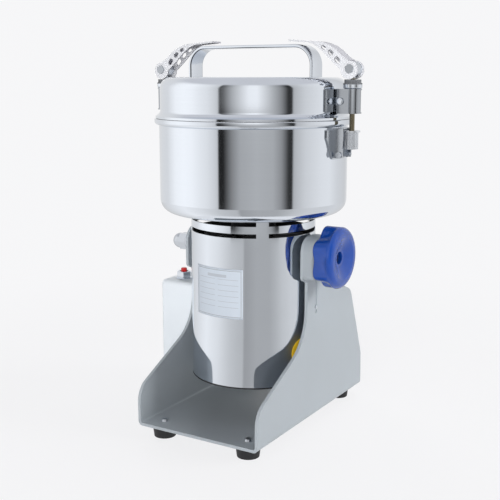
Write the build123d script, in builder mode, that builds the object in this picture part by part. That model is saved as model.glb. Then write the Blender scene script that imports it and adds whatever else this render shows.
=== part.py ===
"""Swing-type electric spice grinder: bent-sheet stand, tilting motor and bowl, clamped lid.

Millimetres, +Z up. X runs along the tilt pivot, with the clamp knob at +X. The front is -Y.
The origin is on the table, below the bowl's axis in X and at the middle of the stand in Y.
"""
import os
from math import cos, radians, sin, sqrt

from build123d import *

os.makedirs("parts", exist_ok=True)

# Fits
running_gap = 0.05
seat_gap = 0.1
part_gap = 0.3

# Stand
foot_height = 12.0
foot_top_d = 25.0
foot_bottom_d = 22.0
foot_inset_x = 20.5
foot_inset_y = 17.0
foot_floor = 3.0
base_width = 140.0
base_depth = 230.0
sheet = 3.0
bend_inside_r = 2.0
pivot_from_front = 108.5
ear_rise = 20.3
toe_corner = 38.5
toe_radius = 22.0
neck_drop = 62.7
neck_front = 12.0
neck_radius = 48.0
ear_half_width = 22.0
ear_length = 42.3
ear_height = 191.3
ear_radius = 16.0
ear_corner_r = 5.0
ear_nose_drop = 4.0
ear_nose_r = 3.0
ear_back_drop = 2.0
ear_back_r = 6.0
shoulder_back = 90.0
shoulder_drop = 31.0
shoulder_radius = 16.0
tail_height = 38.0
tail_inset = 1.0
tail_radius = 8.0
rib_width = 5.0
rib_depth = 1.0
rib_offset = 7.0
rib_length = 37.0
pad_thick = 11.0
pad_edge_r = 3.0
screw_d = 4.0
screw_head_d = 7.5
screw_head_h = 2.2
screw_length = 11.0
screw_head_taper = 20.0

# Tilt pivot
stud_d = 10.0
stud_head_d = 24.0
stud_head_h = 3.0
weld_gap = 0.2
stud_collar_d = 20.0
bush_wall = 3.0
bush_flange = 1.1
washer_d = 21.0
washer_h = 2.0
nut_af = 17.0
jam_nut_h = 8.4
cap_hex_h = 8.9
cap_dome_h = 10.6
stud_in_cap = 6.0
cap_slack = 0.5

# Clamp knob
knob_d = 60.0
knob_depth = 22.5
knob_hub_d = 30.0
knob_hub_h = 2.4
knob_rim_r = 7.0
knob_back_r = 4.0
knob_gap = 0.6
knob_dish_r = (20.0, 12.0)
knob_dish_bends = (2.0, 5.0)
knob_dish_depth = 5.5
knob_scallop_r = 13.0
knob_scallop_pitch_r = 37.0
knob_scallop_length = 12.0
knob_lobes = 4
knob_lobe_turn = 51.0
insert_d = 16.0
insert_h = 13.0

# Motor
motor_r = 64.0
motor_wall = 1.5
motor_drop = 129.5
cover_flange = 1.5
cover_spigot_h = 5.0
cover_spigot_wall = 2.0
vent_count = 12
vent_size = (30.0, 6.0)
vent_pitch_r = 35.2
slot_height = 4.2
slot_over = 2.0
slot_low_rise = 21.5
slot_high_rise = 32.9
bridge_width = 12.3
bridges = 4
bridge_cut = 12.0
stator_drop = (78.0, 23.0)
stator_bore_r = 29.0
stator_flat = 104.0
coil_r = (30.5, 46.0)
coil_h = 11.0
coil_edge_r = 3.0
air_gap = 0.6
armature_slots = 16
armature_slot = (3.0, 7.0)
winding_r = 24.0
winding_h = 10.0
shaft_d = 15.0
shaft_core_d = 16.0
lower_journal_d = 12.0
shaft_tail = 1.0
shaft_shoulder = 2.5
shaft_relief = 0.5
shaft_over = 1.5
upper_ring = (35.0, 15.0, 11.0)
lower_ring = (32.0, 12.0, 10.0)
upper_ring_rise = 20.0
lower_ring_drop = 119.0
end_plate_h = 4.0
end_plate_cap = 1.5
end_plate_holes = 6
end_plate_hole_r = 9.0
end_plate_pitch_r = 42.2
ring_recess = 1.0
hub_wall = 5.5
commutator_r = 16.0
commutator_drop = (103.0, 89.0)
commutator_riser = 2.0
brush_section = (6.0, 9.0)
brush_length = 18.0
holder_wall = 2.0
holder_gap = 2.5
holder_over = 4.0
fan_r = 55.0
fan_rise = 1.0
fan_plate = 2.0
fan_blade_h = 12.0
fan_blades = 11
fan_hub_wall = 5.0
fan_blade_pitch_r = 36.3
fan_blade_length = 34.1
fan_blade_turn = 25.0

# Bowl
bowl_r = 95.0
bowl_wall = 2.0
bowl_rise = 40.0
bowl_corner_r = 14.0
bowl_depth = 94.0
bead_out = 4.5
bead_height = 6.8
boss_r = 22.0
boss_h = 7.0
seal_r = 15.0
seal_sink = 0.5
seal_rise = 1.0

# Blades
blade_seat_d = 12.0
blade_thick = 2.5
blade_span = 168.0
blade_width = 26.0
blade_tip_width = 15.0
blade_first_rise = 13.0
blade_pitch = 11.0
blade_tip_length = 24.0
spacer_d = 24.0
blade_nut_af = 18.0
blade_nut_h = 9.0

# Lid
lid_in = 1.4
lid_wall = 1.5
lid_height = 40.4
lid_shoulder_r = 11.0
lid_lip_out = 4.7
lid_lip_h = 2.2
lid_flare_rise = 8.0
lid_lip_wall = 1.2
lid_gap = 0.5
gasket_gap = 0.2
gasket_h = 2.1
handle_in = 22.1
handle_height = 31.0
handle_strap = 3.0
handle_width = 22.0
handle_corner_r = 20.0

# Latches
rod_stand_off = 9.5
rod_d = 5.0
rod_eye_r = 6.6
rod_tail = 0.3
saddle_pin_in = 8.6
saddle_pin_rise = 18.0
saddle_pin_d = 4.0
pin_head_d = 7.0
pin_head_h = 2.0
pin_head_edge_r = 1.2
saddle_height = 23.0
saddle_back_in = 12.3
saddle_plate = 1.2
saddle_plate_over = 0.7
saddle_cheek = 2.0
barrel_r = 8.0
lug_plate = 1.6
lug_half_width = 23.0
lug_top_rise = 29.0
lug_ear = 2.0
lug_ear_r = 3.8
lug_ear_gap = 9.2
rivet_d = 3.0
rivet_y = 17.5
rivet_head_d = 5.5
rivet_head_h = 1.2
cup_h = 8.6
cup_r = 9.0
cup_waist_h = 5.0
cup_edge = 1.0
cup_step = 0.6
lever_pin_rise = 48.0
lever_pin_d = 6.0
lever_pin_head = 1.2
lever_width = 16.0
lever_sheet = 1.6
lever_web_shift = (1.0, 1.25)
cam_r = 8.5
cam_offset = 1.2
cam_phase = 35.0
lever_back = [(-1.5, 8.0), (-8.5, 12.4), (-16.3, 19.0), (-25.0, 23.4), (-36.0, 25.8)]
lever_belly = [(-44.0, 24.9), (-36.0, 21.8), (-28.8, 16.5), (-22.9, 11.0), (-15.5, 4.4), (-9.0, -1.0)]
lever_tip = (-65.0, 28.0)
lever_holes = [
    ((-12.7, 8.2), (7.0, 4.8), 52), ((-19.8, 15.0), (6.4, 4.2), 42), ((-27.2, 19.9), (5.4, 3.2), 28)]
knurl_d = 12.6
knurl_h = 16.0
knurl_count = 18
knurl_r = 0.7
flange_d = 16.0
flange_h = 1.5
flange_drop = 9.5
lip_gap = 0.8
lip_sheet = 1.5
lip_notch_gap = 2.2
catch_half_width = 10.4
catch_foot_half = 13.0
catch_wing = 22.5
catch_wing_h = 8.0
catch_height = 28.0
catch_lip_in = 4.0
catch_foot_in = 5.0
catch_bends = (6.0, 3.0)
catch_rivet_in = 8.2
catch_rivet_drop = 32.5
catch_rivet_d = 4.0
catch_rivet_head_d = 6.0
catch_rivet_head_h = 1.4

# Control box
box_depth = 42.0
box_front = 11.0
box_length = 62.0
box_low = 34.0
box_drop = 44.0
box_wall = 1.5
box_edge_r = 5.0
box_tab = 10.0
box_tab_shift = 2.0
box_tab_margin = (16.0, 24.0)
breaker_from_face = 17.0
breaker_from_front = 20.0
breaker_neck_d = 9.4
breaker_size = (15.0, 26.0, 32.0)
breaker_corner_r = 2.0
breaker_neck_short = 0.5
breaker_washer_d = 18.0
breaker_washer_h = 1.0
breaker_nut_chamfer = 0.6
breaker_nut_af = 14.5
breaker_nut_h = 8.0
button_d = 6.6
button_rise = 3.5
button_root = 4.0
button_well = 6.0
button_edge_r = 1.0
switch_bezel = (15.0, 21.0)
switch_rim = 1.6
switch_lap = 2.0
switch_corner_r = 1.5
switch_back = 2.0
switch_proud = 2.0
switch_deep = 13.0
switch_z = 96.0
rocker_tilt = 7.0
rocker_pivot_in = 1.0
rocker_root = (4.0, 4.0)
rocker_crest = (3.6, 4.4)
rocker_dip = 3.2
gland_z = 54.0
gland_af = 17.0
gland_bore_d = 8.0
gland_thread_r = 6.5
gland_thread_l = 8.0
gland_hex_h = 5.0
gland_cap_r = 8.0
gland_cap_h = 9.0
gland_dome_r = 4.0

# Derived places
bracket_z = foot_height
pivot_y = pivot_from_front - base_depth / 2
ear_bottom = ear_height - ear_length
pivot_z = bracket_z + ear_height - ear_rise
shoulder = (shoulder_back, ear_bottom - shoulder_drop)
rib_bottom = ear_bottom - rib_length
box_z = (box_low, pivot_z - box_drop)
motor_bottom = pivot_z - motor_drop
slot_low_z = pivot_z + slot_low_rise
slot_high_z = pivot_z + slot_high_rise
stator_z = tuple(pivot_z - drop for drop in stator_drop)
upper_ring_z = pivot_z + upper_ring_rise
lower_ring_z = pivot_z - lower_ring_drop
commutator_z = tuple(pivot_z - drop for drop in commutator_drop)
fan_z = pivot_z + fan_rise
bowl_bottom = pivot_z + bowl_rise
rim_z = bowl_bottom + bowl_depth
bead_r = bowl_r + bead_out
blade_first_z = bowl_bottom + blade_first_rise
lid_r = bowl_r - lid_in
lid_lip_r = lid_r + lid_lip_out
lid_top = rim_z + lid_height
handle_half = lid_r - handle_in
lid_flare_z = rim_z + lid_flare_rise
rod_r = bead_r + rod_stand_off
saddle_pin_r = rod_r - saddle_pin_in
saddle_back_r = rod_r - saddle_back_in
saddle_pin_z = rim_z + saddle_pin_rise
lug_top_z = rim_z + lug_top_rise
lever_pin_z = rim_z + lever_pin_rise
flange_top = rim_z - flange_drop
catch_reach = rod_r - catch_lip_in
catch_foot_r = rod_r - catch_foot_in
catch_rivet_r = rod_r - catch_rivet_in
catch_rivet_z = rim_z - catch_rivet_drop
wing_out = base_width / 2
wing_in = wing_out - sheet
motor_in = motor_r - motor_wall
rod_bottom = flange_top - flange_h - knurl_h - rod_tail
vertical = Axis((0, pivot_y, 0), (0, 0, 1))
tilt_axis = Axis((0, pivot_y, pivot_z), (1, 0, 0))
front = Plane((0, pivot_y, 0), x_dir=(1, 0, 0), z_dir=(0, -1, 0))
sides = (("left", -1), ("right", 1))
tab_y = box_length - box_tab_margin[0]
tab_z = box_z[1] - box_z[0] - box_tab_margin[1]
box_mid = pivot_y - box_front + box_length / 2
box_mid_z = sum(box_z) / 2
wing_face = Plane((-wing_out, box_mid, box_mid_z), x_dir=(0, 1, 0), z_dir=(1, 0, 0))


def level(z):
    """A horizontal plane at height z, centred on the bowl's axis."""
    return Plane((0, pivot_y, z))


def across(x):
    """A plane facing +X at x, centred on the tilt pivot, with local y up."""
    return Plane((x, pivot_y, pivot_z), x_dir=(0, 1, 0), z_dir=(1, 0, 0))


def save(piece, name):
    """Label a finished piece and write it under its own name."""
    piece.part.label = name
    export_step(piece.part, f"parts/{name}.step")


def turned(points):
    """Revolve the closed outline of (radius, height) points about the bowl's axis."""
    with BuildSketch(front) as outline:
        with BuildLine():
            Polyline(*points, close=True)
        make_face()
    revolve(outline.sketch, axis=vertical)


def turned_on_pivot(points):
    """Revolve the closed outline of (x, radius) points about the tilt pivot."""
    with BuildSketch(front) as outline:
        with BuildLine():
            Polyline(*[(x, pivot_z + r) for x, r in points], close=True)
        make_face()
    revolve(outline.sketch, axis=tilt_axis)


# Stand: one bent sheet with a floor and two swept wings
wing_corners = [
    ((-pivot_from_front, 0), 0),
    ((-pivot_from_front, toe_corner), toe_radius),
    ((-neck_front, ear_bottom - neck_drop), neck_radius),
    ((-neck_front, ear_bottom - ear_nose_drop), ear_nose_r),
    ((-ear_half_width, ear_bottom), ear_corner_r),
    ((-ear_half_width, ear_height), ear_radius),
    ((ear_half_width, ear_height), ear_radius),
    ((ear_half_width, ear_bottom - ear_back_drop), ear_back_r),
    (shoulder, shoulder_radius),
    ((base_depth - pivot_from_front - tail_inset, tail_height), tail_radius),
    ((base_depth - pivot_from_front, 0), 0),
]
bend_outside_r = bend_inside_r + sheet
foot_x = base_width / 2 - foot_inset_x
foot_y = base_depth / 2 - foot_inset_y
bush_bore_r = stud_d / 2 + running_gap
bush_r = bush_bore_r + bush_wall

with BuildPart() as base_bracket:
    with BuildSketch(Plane((0, -base_depth / 2, bracket_z), x_dir=(1, 0, 0), z_dir=(0, -1, 0))):
        with BuildLine():
            FilletPolyline(
                (-wing_out, ear_height), (-wing_out, 0), (wing_out, 0), (wing_out, ear_height),
                (wing_in, ear_height), (wing_in, sheet), (-wing_in, sheet), (-wing_in, ear_height),
                radius=[0, bend_outside_r, bend_outside_r, 0, 0, bend_inside_r, bend_inside_r, 0],
                close=True)
        make_face()
    extrude(amount=-base_depth)
    with BuildSketch(Plane((-wing_out, pivot_y, bracket_z), x_dir=(0, 1, 0), z_dir=(1, 0, 0))):
        with BuildLine():
            FilletPolyline(*[p for p, r in wing_corners], radius=[r for p, r in wing_corners], close=True)
        make_face()
    extrude(amount=base_width, mode=Mode.INTERSECT)
    with BuildSketch(across(-wing_out)):
        Circle(bush_r + running_gap)
    extrude(amount=base_width, mode=Mode.SUBTRACT)
    with BuildSketch(Plane.XY.offset(bracket_z)):
        with GridLocations(2 * foot_x, 2 * foot_y, 2, 2):
            Circle(screw_d / 2 + seat_gap)
    extrude(amount=sheet, mode=Mode.SUBTRACT)
    with BuildSketch(Plane((wing_out, pivot_y + rib_offset, bracket_z), x_dir=(0, 1, 0), z_dir=(1, 0, 0))):
        with Locations((0, (rib_bottom + ear_bottom) / 2)):
            SlotOverall(ear_bottom - rib_bottom + rib_width, rib_width, rotation=90)
    extrude(amount=-rib_depth, mode=Mode.SUBTRACT)
    with BuildSketch(wing_face):
        with GridLocations(tab_y, tab_z, 2, 2):
            Circle(screw_d / 2 + seat_gap)
    extrude(amount=sheet, mode=Mode.SUBTRACT)
save(base_bracket, "base_bracket")

# Clamp pad welded outside the right ear
with BuildPart() as pivot_pad:
    with BuildSketch(Plane((wing_out, pivot_y, bracket_z), x_dir=(0, 1, 0), z_dir=(1, 0, 0))):
        with BuildLine():
            FilletPolyline(
                (-ear_half_width, ear_bottom), (-ear_half_width, ear_height),
                (ear_half_width, ear_height), (ear_half_width, ear_bottom),
                radius=[ear_corner_r, ear_radius, ear_radius, ear_corner_r], close=True)
        make_face()
    extrude(amount=pad_thick)
    fillet(pivot_pad.faces().sort_by(Axis.X)[-1].edges(), pad_edge_r)
    with BuildSketch(across(wing_out)):
        Circle(bush_r + running_gap)
    extrude(amount=pad_thick, mode=Mode.SUBTRACT)
save(pivot_pad, "pivot_pad")

# Flanged bushes that line the pivot holes
with BuildPart() as pivot_bushes:
    for sign, length in ((-1, sheet), (1, sheet + pad_thick)):
        flange_x = wing_in - bush_flange
        turned_on_pivot([
            (sign * flange_x, bush_bore_r), (sign * (wing_in + length), bush_bore_r),
            (sign * (wing_in + length), bush_r), (sign * wing_in, bush_r),
            (sign * wing_in, stud_collar_d / 2), (sign * flange_x, stud_collar_d / 2)])
save(pivot_bushes, "pivot_bushes")

# Rubber feet
with BuildPart() as rubber_feet:
    with Locations(*[(x, y, 0) for x in (-foot_x, foot_x) for y in (-foot_y, foot_y)]):
        Cone(foot_bottom_d / 2, foot_top_d / 2, foot_height, align=(Align.CENTER, Align.CENTER, Align.MIN))
    with BuildSketch(Plane.XY.offset(foot_height)):
        with GridLocations(2 * foot_x, 2 * foot_y, 2, 2):
            Circle(screw_d / 2 + seat_gap)
    extrude(amount=foot_floor - foot_height, mode=Mode.SUBTRACT)
save(rubber_feet, "rubber_feet")

# Control box: a folded cover on the outside of the left wing
box_out = -wing_out - box_depth
box_y = (pivot_y - box_front, pivot_y - box_front + box_length)
switch_face = Plane((box_out, box_mid, switch_z), x_dir=(0, 1, 0), z_dir=(1, 0, 0))
gland_face = Plane((-wing_out - box_depth / 2, box_y[1], gland_z), x_dir=(1, 0, 0), z_dir=(0, 1, 0))
breaker_at = (box_out + breaker_from_face, box_y[0] + breaker_from_front)
with BuildPart() as control_box:
    with BuildSketch(wing_face):
        Rectangle(box_length, box_z[1] - box_z[0])
    extrude(amount=-box_depth)
    fillet(control_box.edges().filter_by(Axis.X), box_edge_r)
    fillet(control_box.faces().sort_by(Axis.X)[0].edges(), box_edge_r - box_wall)
    offset(amount=-box_wall, openings=control_box.faces().sort_by(Axis.X)[-1])
    for dy in (-1, 1):
        with BuildSketch(wing_face):
            tab_at = dy * (tab_y / 2 + box_tab_shift)
            with Locations((tab_at, tab_z / 2), (tab_at, -tab_z / 2)):
                Rectangle(box_tab, box_tab)
        extrude(amount=-box_wall)
    with BuildSketch(wing_face):
        with GridLocations(tab_y, tab_z, 2, 2):
            Circle(screw_d / 2 + seat_gap)
    extrude(amount=-box_wall, mode=Mode.SUBTRACT)
    with BuildSketch(Plane((breaker_at[0], breaker_at[1], box_z[1]))):
        Circle(breaker_neck_d / 2 + part_gap)
    extrude(amount=-2 * box_wall, mode=Mode.SUBTRACT)
    with BuildSketch(switch_face):
        Rectangle(switch_bezel[0] - switch_lap, switch_bezel[1] - switch_lap)
    extrude(amount=2 * box_wall, mode=Mode.SUBTRACT)
    with BuildSketch(gland_face):
        Circle(gland_thread_r + part_gap)
    extrude(amount=-2 * box_wall, mode=Mode.SUBTRACT)
save(control_box, "control_box")

# Screws through the floor into the feet and through the left wing into the box's tabs
screw_seats = [Plane((x, y, bracket_z + sheet)) for x in (-foot_x, foot_x) for y in (-foot_y, foot_y)]
for dy in (-tab_y / 2, tab_y / 2):
    for dz in (-tab_z / 2, tab_z / 2):
        screw_seats.append(Plane((-wing_in, box_mid + dy, box_mid_z + dz), x_dir=(0, 1, 0), z_dir=(1, 0, 0)))
with BuildPart() as stand_screws:
    for seat in screw_seats:
        with BuildSketch(seat):
            Circle(screw_d / 2)
        extrude(amount=-screw_length)
        with BuildSketch(seat):
            Circle(screw_head_d / 2)
        extrude(amount=screw_head_h, taper=screw_head_taper)
save(stand_screws, "stand_screws")

# Overload breaker with its nut and reset button
button_top = box_z[1] + breaker_nut_h + button_rise
with BuildPart() as breaker_body:
    body_top = box_z[1] - box_wall - seat_gap
    with BuildSketch(Plane((breaker_at[0], breaker_at[1], body_top))):
        RectangleRounded(breaker_size[0], breaker_size[1], breaker_corner_r)
    extrude(amount=-breaker_size[2])
    with BuildSketch(Plane((breaker_at[0], breaker_at[1], body_top))):
        Circle(breaker_neck_d / 2)
    extrude(amount=box_wall + seat_gap + breaker_nut_h - breaker_neck_short)
    with BuildSketch(Plane((breaker_at[0], breaker_at[1], box_z[1] + breaker_nut_h))):
        Circle(button_d / 2 + running_gap)
    extrude(amount=-breaker_nut_h - button_well, mode=Mode.SUBTRACT)
save(breaker_body, "breaker_body")

with BuildPart() as breaker_nut:
    with BuildSketch(Plane((breaker_at[0], breaker_at[1], box_z[1]))):
        Circle(breaker_washer_d / 2)
    extrude(amount=breaker_washer_h)
    with BuildSketch(Plane((breaker_at[0], breaker_at[1], box_z[1] + breaker_washer_h))):
        RegularPolygon(breaker_nut_af / 2, 6, major_radius=False)
    extrude(amount=breaker_nut_h - breaker_washer_h)
    chamfer(breaker_nut.faces().sort_by(Axis.Z)[-1].edges(), breaker_nut_chamfer)
    with BuildSketch(Plane((breaker_at[0], breaker_at[1], box_z[1]))):
        Circle(breaker_neck_d / 2 + seat_gap)
    extrude(amount=breaker_nut_h, mode=Mode.SUBTRACT)
save(breaker_nut, "breaker_nut")

with BuildPart() as reset_button:
    with BuildSketch(Plane((breaker_at[0], breaker_at[1], box_z[1] - button_root))):
        Circle(button_d / 2)
    extrude(amount=button_top - box_z[1] + button_root)
    fillet(reset_button.faces().sort_by(Axis.Z)[-1].edges(), button_edge_r)
save(reset_button, "reset_button")

# Rocker switch in the box's outer face
rocker_w = switch_bezel[0] - 2 * switch_rim - 2 * part_gap
rocker_h = switch_bezel[1] - 2 * switch_rim - 2 * part_gap
with BuildPart() as switch_housing:
    with BuildSketch(switch_face):
        RectangleRounded(switch_bezel[0], switch_bezel[1], switch_corner_r)
    extrude(amount=-switch_proud)
    with BuildSketch(switch_face):
        Rectangle(switch_bezel[0] - switch_lap - 2 * part_gap, switch_bezel[1] - switch_lap - 2 * part_gap)
    extrude(amount=switch_deep)
    with BuildSketch(switch_face.offset(-switch_proud)):
        Rectangle(rocker_w + 2 * part_gap, rocker_h + 2 * part_gap)
    extrude(amount=switch_deep - switch_back, mode=Mode.SUBTRACT)
save(switch_housing, "switch_housing")

rocker_pivot = Plane((box_out + rocker_pivot_in, box_mid, switch_z), x_dir=(-1, 0, 0), z_dir=(0, 1, 0))
rocker_half = rocker_h / 2 - part_gap
with BuildPart() as switch_rocker:
    with BuildSketch(rocker_pivot.rotated((0, rocker_tilt, 0))):
        with BuildLine():
            Polyline((-rocker_root[0], -rocker_root[1]), (rocker_crest[0], -rocker_half),
                     (rocker_crest[1], -rocker_half), (rocker_dip, 0), (rocker_crest[1], rocker_half),
                     (rocker_crest[0], rocker_half), (-rocker_root[0], rocker_root[1]), close=True)
        make_face()
    extrude(amount=rocker_w / 2, both=True)
save(switch_rocker, "switch_rocker")

# Cable gland in the box's back face
with BuildPart() as cable_gland:
    with BuildSketch(gland_face.offset(-gland_thread_l)):
        Circle(gland_thread_r)
    extrude(amount=gland_thread_l)
    with BuildSketch(gland_face):
        RegularPolygon(gland_af / 2, 6, major_radius=False)
    extrude(amount=gland_hex_h)
    with BuildSketch(gland_face.offset(gland_hex_h)):
        Circle(gland_cap_r)
    extrude(amount=gland_cap_h)
    fillet(cable_gland.faces().sort_by(Axis.Y)[-1].edges(), gland_dome_r)
    with BuildSketch(gland_face.offset(-gland_thread_l)):
        Circle(gland_bore_d / 2)
    extrude(amount=gland_thread_l + gland_hex_h + gland_cap_h, mode=Mode.SUBTRACT)
save(cable_gland, "cable_gland")

# Motor housing: a polished tube with two rows of vent slots at its neck
with BuildPart() as motor_housing:
    with BuildSketch(level(motor_bottom)):
        Circle(motor_r)
        Circle(motor_in, mode=Mode.SUBTRACT)
    extrude(amount=bowl_bottom - motor_bottom)
    for slot_z in (slot_low_z, slot_high_z):
        with BuildSketch(level(slot_z)):
            Circle(motor_r + slot_over)
            Circle(motor_in - slot_over, mode=Mode.SUBTRACT)
            with PolarLocations(motor_r, bridges, start_angle=180 / bridges):
                Rectangle(bridge_cut, bridge_width, mode=Mode.SUBTRACT)
        extrude(amount=slot_height, mode=Mode.SUBTRACT)
    with BuildSketch(across(-motor_r - slot_over)):
        Circle(stud_d / 2 + seat_gap)
    extrude(amount=2 * (motor_r + slot_over), mode=Mode.SUBTRACT)
save(motor_housing, "motor_housing")

with BuildPart() as bottom_cover:
    with BuildSketch(level(motor_bottom - cover_flange)):
        Circle(motor_r)
    extrude(amount=cover_flange)
    with BuildSketch(level(motor_bottom)):
        Circle(motor_in - seat_gap)
        Circle(motor_in - cover_spigot_wall, mode=Mode.SUBTRACT)
    extrude(amount=cover_spigot_h)
    with BuildSketch(level(motor_bottom - cover_flange)):
        with PolarLocations(vent_pitch_r, vent_count):
            SlotOverall(*vent_size)
    extrude(amount=cover_flange, mode=Mode.SUBTRACT)
save(bottom_cover, "bottom_cover")

# Pivot studs with a weld head inside the housing and a collar outside it
stud_head_x = sqrt(motor_in ** 2 - (stud_head_d / 2) ** 2) - stud_head_h - weld_gap
stud_head_out = stud_head_x + stud_head_h
collar_in = motor_r + running_gap
collar_out = wing_in - bush_flange - weld_gap
cap_in = wing_out + part_gap + washer_h + jam_nut_h + 2 * seat_gap
stud_end_left = cap_in + cap_hex_h + stud_in_cap
knob_back = wing_out + pad_thick + knob_gap
stud_end_right = knob_back + insert_h
with BuildPart() as pivot_studs:
    for sign, end in ((-1, stud_end_left), (1, stud_end_right)):
        turned_on_pivot([
            (sign * stud_head_x, 0), (sign * stud_head_x, stud_head_d / 2),
            (sign * stud_head_out, stud_head_d / 2), (sign * stud_head_out, stud_d / 2),
            (sign * collar_in, stud_d / 2), (sign * collar_in, stud_collar_d / 2),
            (sign * collar_out, stud_collar_d / 2), (sign * collar_out, stud_d / 2),
            (sign * end, stud_d / 2), (sign * end, 0)])
save(pivot_studs, "pivot_studs")

# Left side of the pivot: washer, jam nut and cap nut
washer_x = wing_out + part_gap
with BuildPart() as pivot_washer:
    with BuildSketch(across(-washer_x)):
        Circle(washer_d / 2)
        Circle(stud_d / 2 + running_gap, mode=Mode.SUBTRACT)
    extrude(amount=-washer_h)
save(pivot_washer, "pivot_washer")

with BuildPart() as jam_nut:
    with BuildSketch(across(-washer_x - washer_h - seat_gap)):
        RegularPolygon(nut_af / 2, 6, major_radius=False)
        Circle(stud_d / 2 + running_gap, mode=Mode.SUBTRACT)
    extrude(amount=-jam_nut_h)
save(jam_nut, "jam_nut")

with BuildPart() as cap_nut:
    with BuildSketch(across(-cap_in)):
        RegularPolygon(nut_af / 2, 6, major_radius=False)
    extrude(amount=-cap_hex_h)
    dome_r = nut_af / 2 - part_gap
    dome_x = cap_in + cap_hex_h
    with BuildSketch(across(-dome_x)):
        Circle(dome_r)
    extrude(amount=dome_r - cap_dome_h)
    with Locations((dome_r - cap_dome_h - dome_x, pivot_y, pivot_z)):
        Sphere(dome_r)
    with BuildSketch(across(-cap_in)):
        Circle(stud_d / 2 + running_gap)
    extrude(amount=-(cap_hex_h + stud_in_cap + cap_slack), mode=Mode.SUBTRACT)
save(cap_nut, "cap_nut")

# Clamp knob: a round rim with a dished face and a lobed skirt behind it
knob_front = knob_back + knob_depth
knob_r = knob_d / 2
body_back = knob_back + knob_hub_h
with BuildPart() as clamp_knob:
    with BuildSketch(front):
        with BuildLine():
            FilletPolyline(
                (knob_back, pivot_z), (knob_back, pivot_z + knob_hub_d / 2),
                (body_back, pivot_z + knob_hub_d / 2), (body_back, pivot_z + knob_r),
                (knob_front, pivot_z + knob_r), (knob_front, pivot_z + knob_dish_r[0]),
                (knob_front - knob_dish_depth, pivot_z + knob_dish_r[1]),
                (knob_front - knob_dish_depth, pivot_z),
                radius=[0, 0, 0, knob_back_r, knob_rim_r, *knob_dish_bends, 0], close=True)
        make_face()
    revolve(axis=tilt_axis)
    scallop_end = body_back + knob_scallop_length - knob_scallop_r
    with BuildSketch(across(knob_back)):
        with PolarLocations(knob_scallop_pitch_r, knob_lobes, start_angle=knob_lobe_turn):
            Circle(knob_scallop_r)
    extrude(amount=scallop_end - knob_back, mode=Mode.SUBTRACT)
    with Locations(across(scallop_end)):
        with PolarLocations(knob_scallop_pitch_r, knob_lobes, start_angle=knob_lobe_turn):
            Sphere(knob_scallop_r, mode=Mode.SUBTRACT)
    with BuildSketch(across(knob_back)):
        Circle(insert_d / 2 + running_gap)
    extrude(amount=insert_h + seat_gap, mode=Mode.SUBTRACT)
    with BuildSketch(across(knob_back)):
        Circle(stud_d / 2)
    extrude(amount=knob_depth, mode=Mode.SUBTRACT)
save(clamp_knob, "clamp_knob")

with BuildPart() as knob_insert:
    with BuildSketch(across(knob_back)):
        Circle(insert_d / 2)
        Circle(stud_d / 2 + running_gap, mode=Mode.SUBTRACT)
    extrude(amount=insert_h)
save(knob_insert, "knob_insert")

# End plates that carry the two bearings
upper_top = bowl_bottom - seat_gap
plate_r = motor_in - seat_gap
upper_pocket_r = upper_ring[0] / 2 + running_gap
lower_pocket_r = lower_ring[0] / 2 + running_gap
shaft_hole_r = shaft_d / 2 + part_gap
upper_ring_top = upper_ring_z + upper_ring[2]
with BuildPart() as upper_end_plate:
    turned([
        (shaft_hole_r, upper_top), (plate_r, upper_top), (plate_r, slot_high_z + slot_height),
        (upper_pocket_r + hub_wall, slot_high_z + slot_height), (upper_pocket_r + hub_wall, upper_ring_z),
        (upper_pocket_r, upper_ring_z), (upper_pocket_r, upper_ring_top + seat_gap),
        (shaft_hole_r, upper_ring_top + seat_gap)])
save(upper_end_plate, "upper_end_plate")

lower_ring_top = lower_ring_z + lower_ring[2]
lower_plate_top = lower_ring_top + seat_gap + end_plate_cap
with BuildPart() as lower_end_plate:
    turned([
        (lower_pocket_r, lower_ring_z - seat_gap), (lower_pocket_r + hub_wall, lower_ring_z - seat_gap),
        (lower_pocket_r + hub_wall, lower_ring_top - end_plate_h), (plate_r, lower_ring_top - end_plate_h),
        (plate_r, lower_plate_top), (shaft_hole_r, lower_plate_top),
        (shaft_hole_r, lower_ring_top + seat_gap), (lower_pocket_r, lower_ring_top + seat_gap)])
    with BuildSketch(level(lower_ring_top - end_plate_h)):
        with PolarLocations(end_plate_pitch_r, end_plate_holes, start_angle=180 / end_plate_holes):
            Circle(end_plate_hole_r)
    extrude(amount=2 * end_plate_h, mode=Mode.SUBTRACT)
save(lower_end_plate, "lower_end_plate")

bearings = (("upper_bearing", upper_ring, upper_ring_z), ("lower_bearing", lower_ring, lower_ring_z))
for name, ring, ring_z in bearings:
    outer_r = ring[0] / 2
    inner_r = ring[1] / 2 + running_gap
    race = (outer_r - inner_r) / 3
    ring_top = ring_z + ring[2]
    with BuildPart() as bearing:
        turned([
            (inner_r, ring_z), (inner_r + race, ring_z), (inner_r + race, ring_z + ring_recess),
            (outer_r - race, ring_z + ring_recess), (outer_r - race, ring_z), (outer_r, ring_z),
            (outer_r, ring_top), (outer_r - race, ring_top), (outer_r - race, ring_top - ring_recess),
            (inner_r + race, ring_top - ring_recess), (inner_r + race, ring_top), (inner_r, ring_top)])
    save(bearing, name)

# Field: laminated stator with its coil heads
with BuildPart() as stator_core:
    with BuildSketch(level(stator_z[0])):
        Circle(motor_in - seat_gap)
        Rectangle(2 * motor_r, stator_flat, mode=Mode.INTERSECT)
        Circle(stator_bore_r, mode=Mode.SUBTRACT)
    extrude(amount=stator_z[1] - stator_z[0])
save(stator_core, "stator_core")

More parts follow.
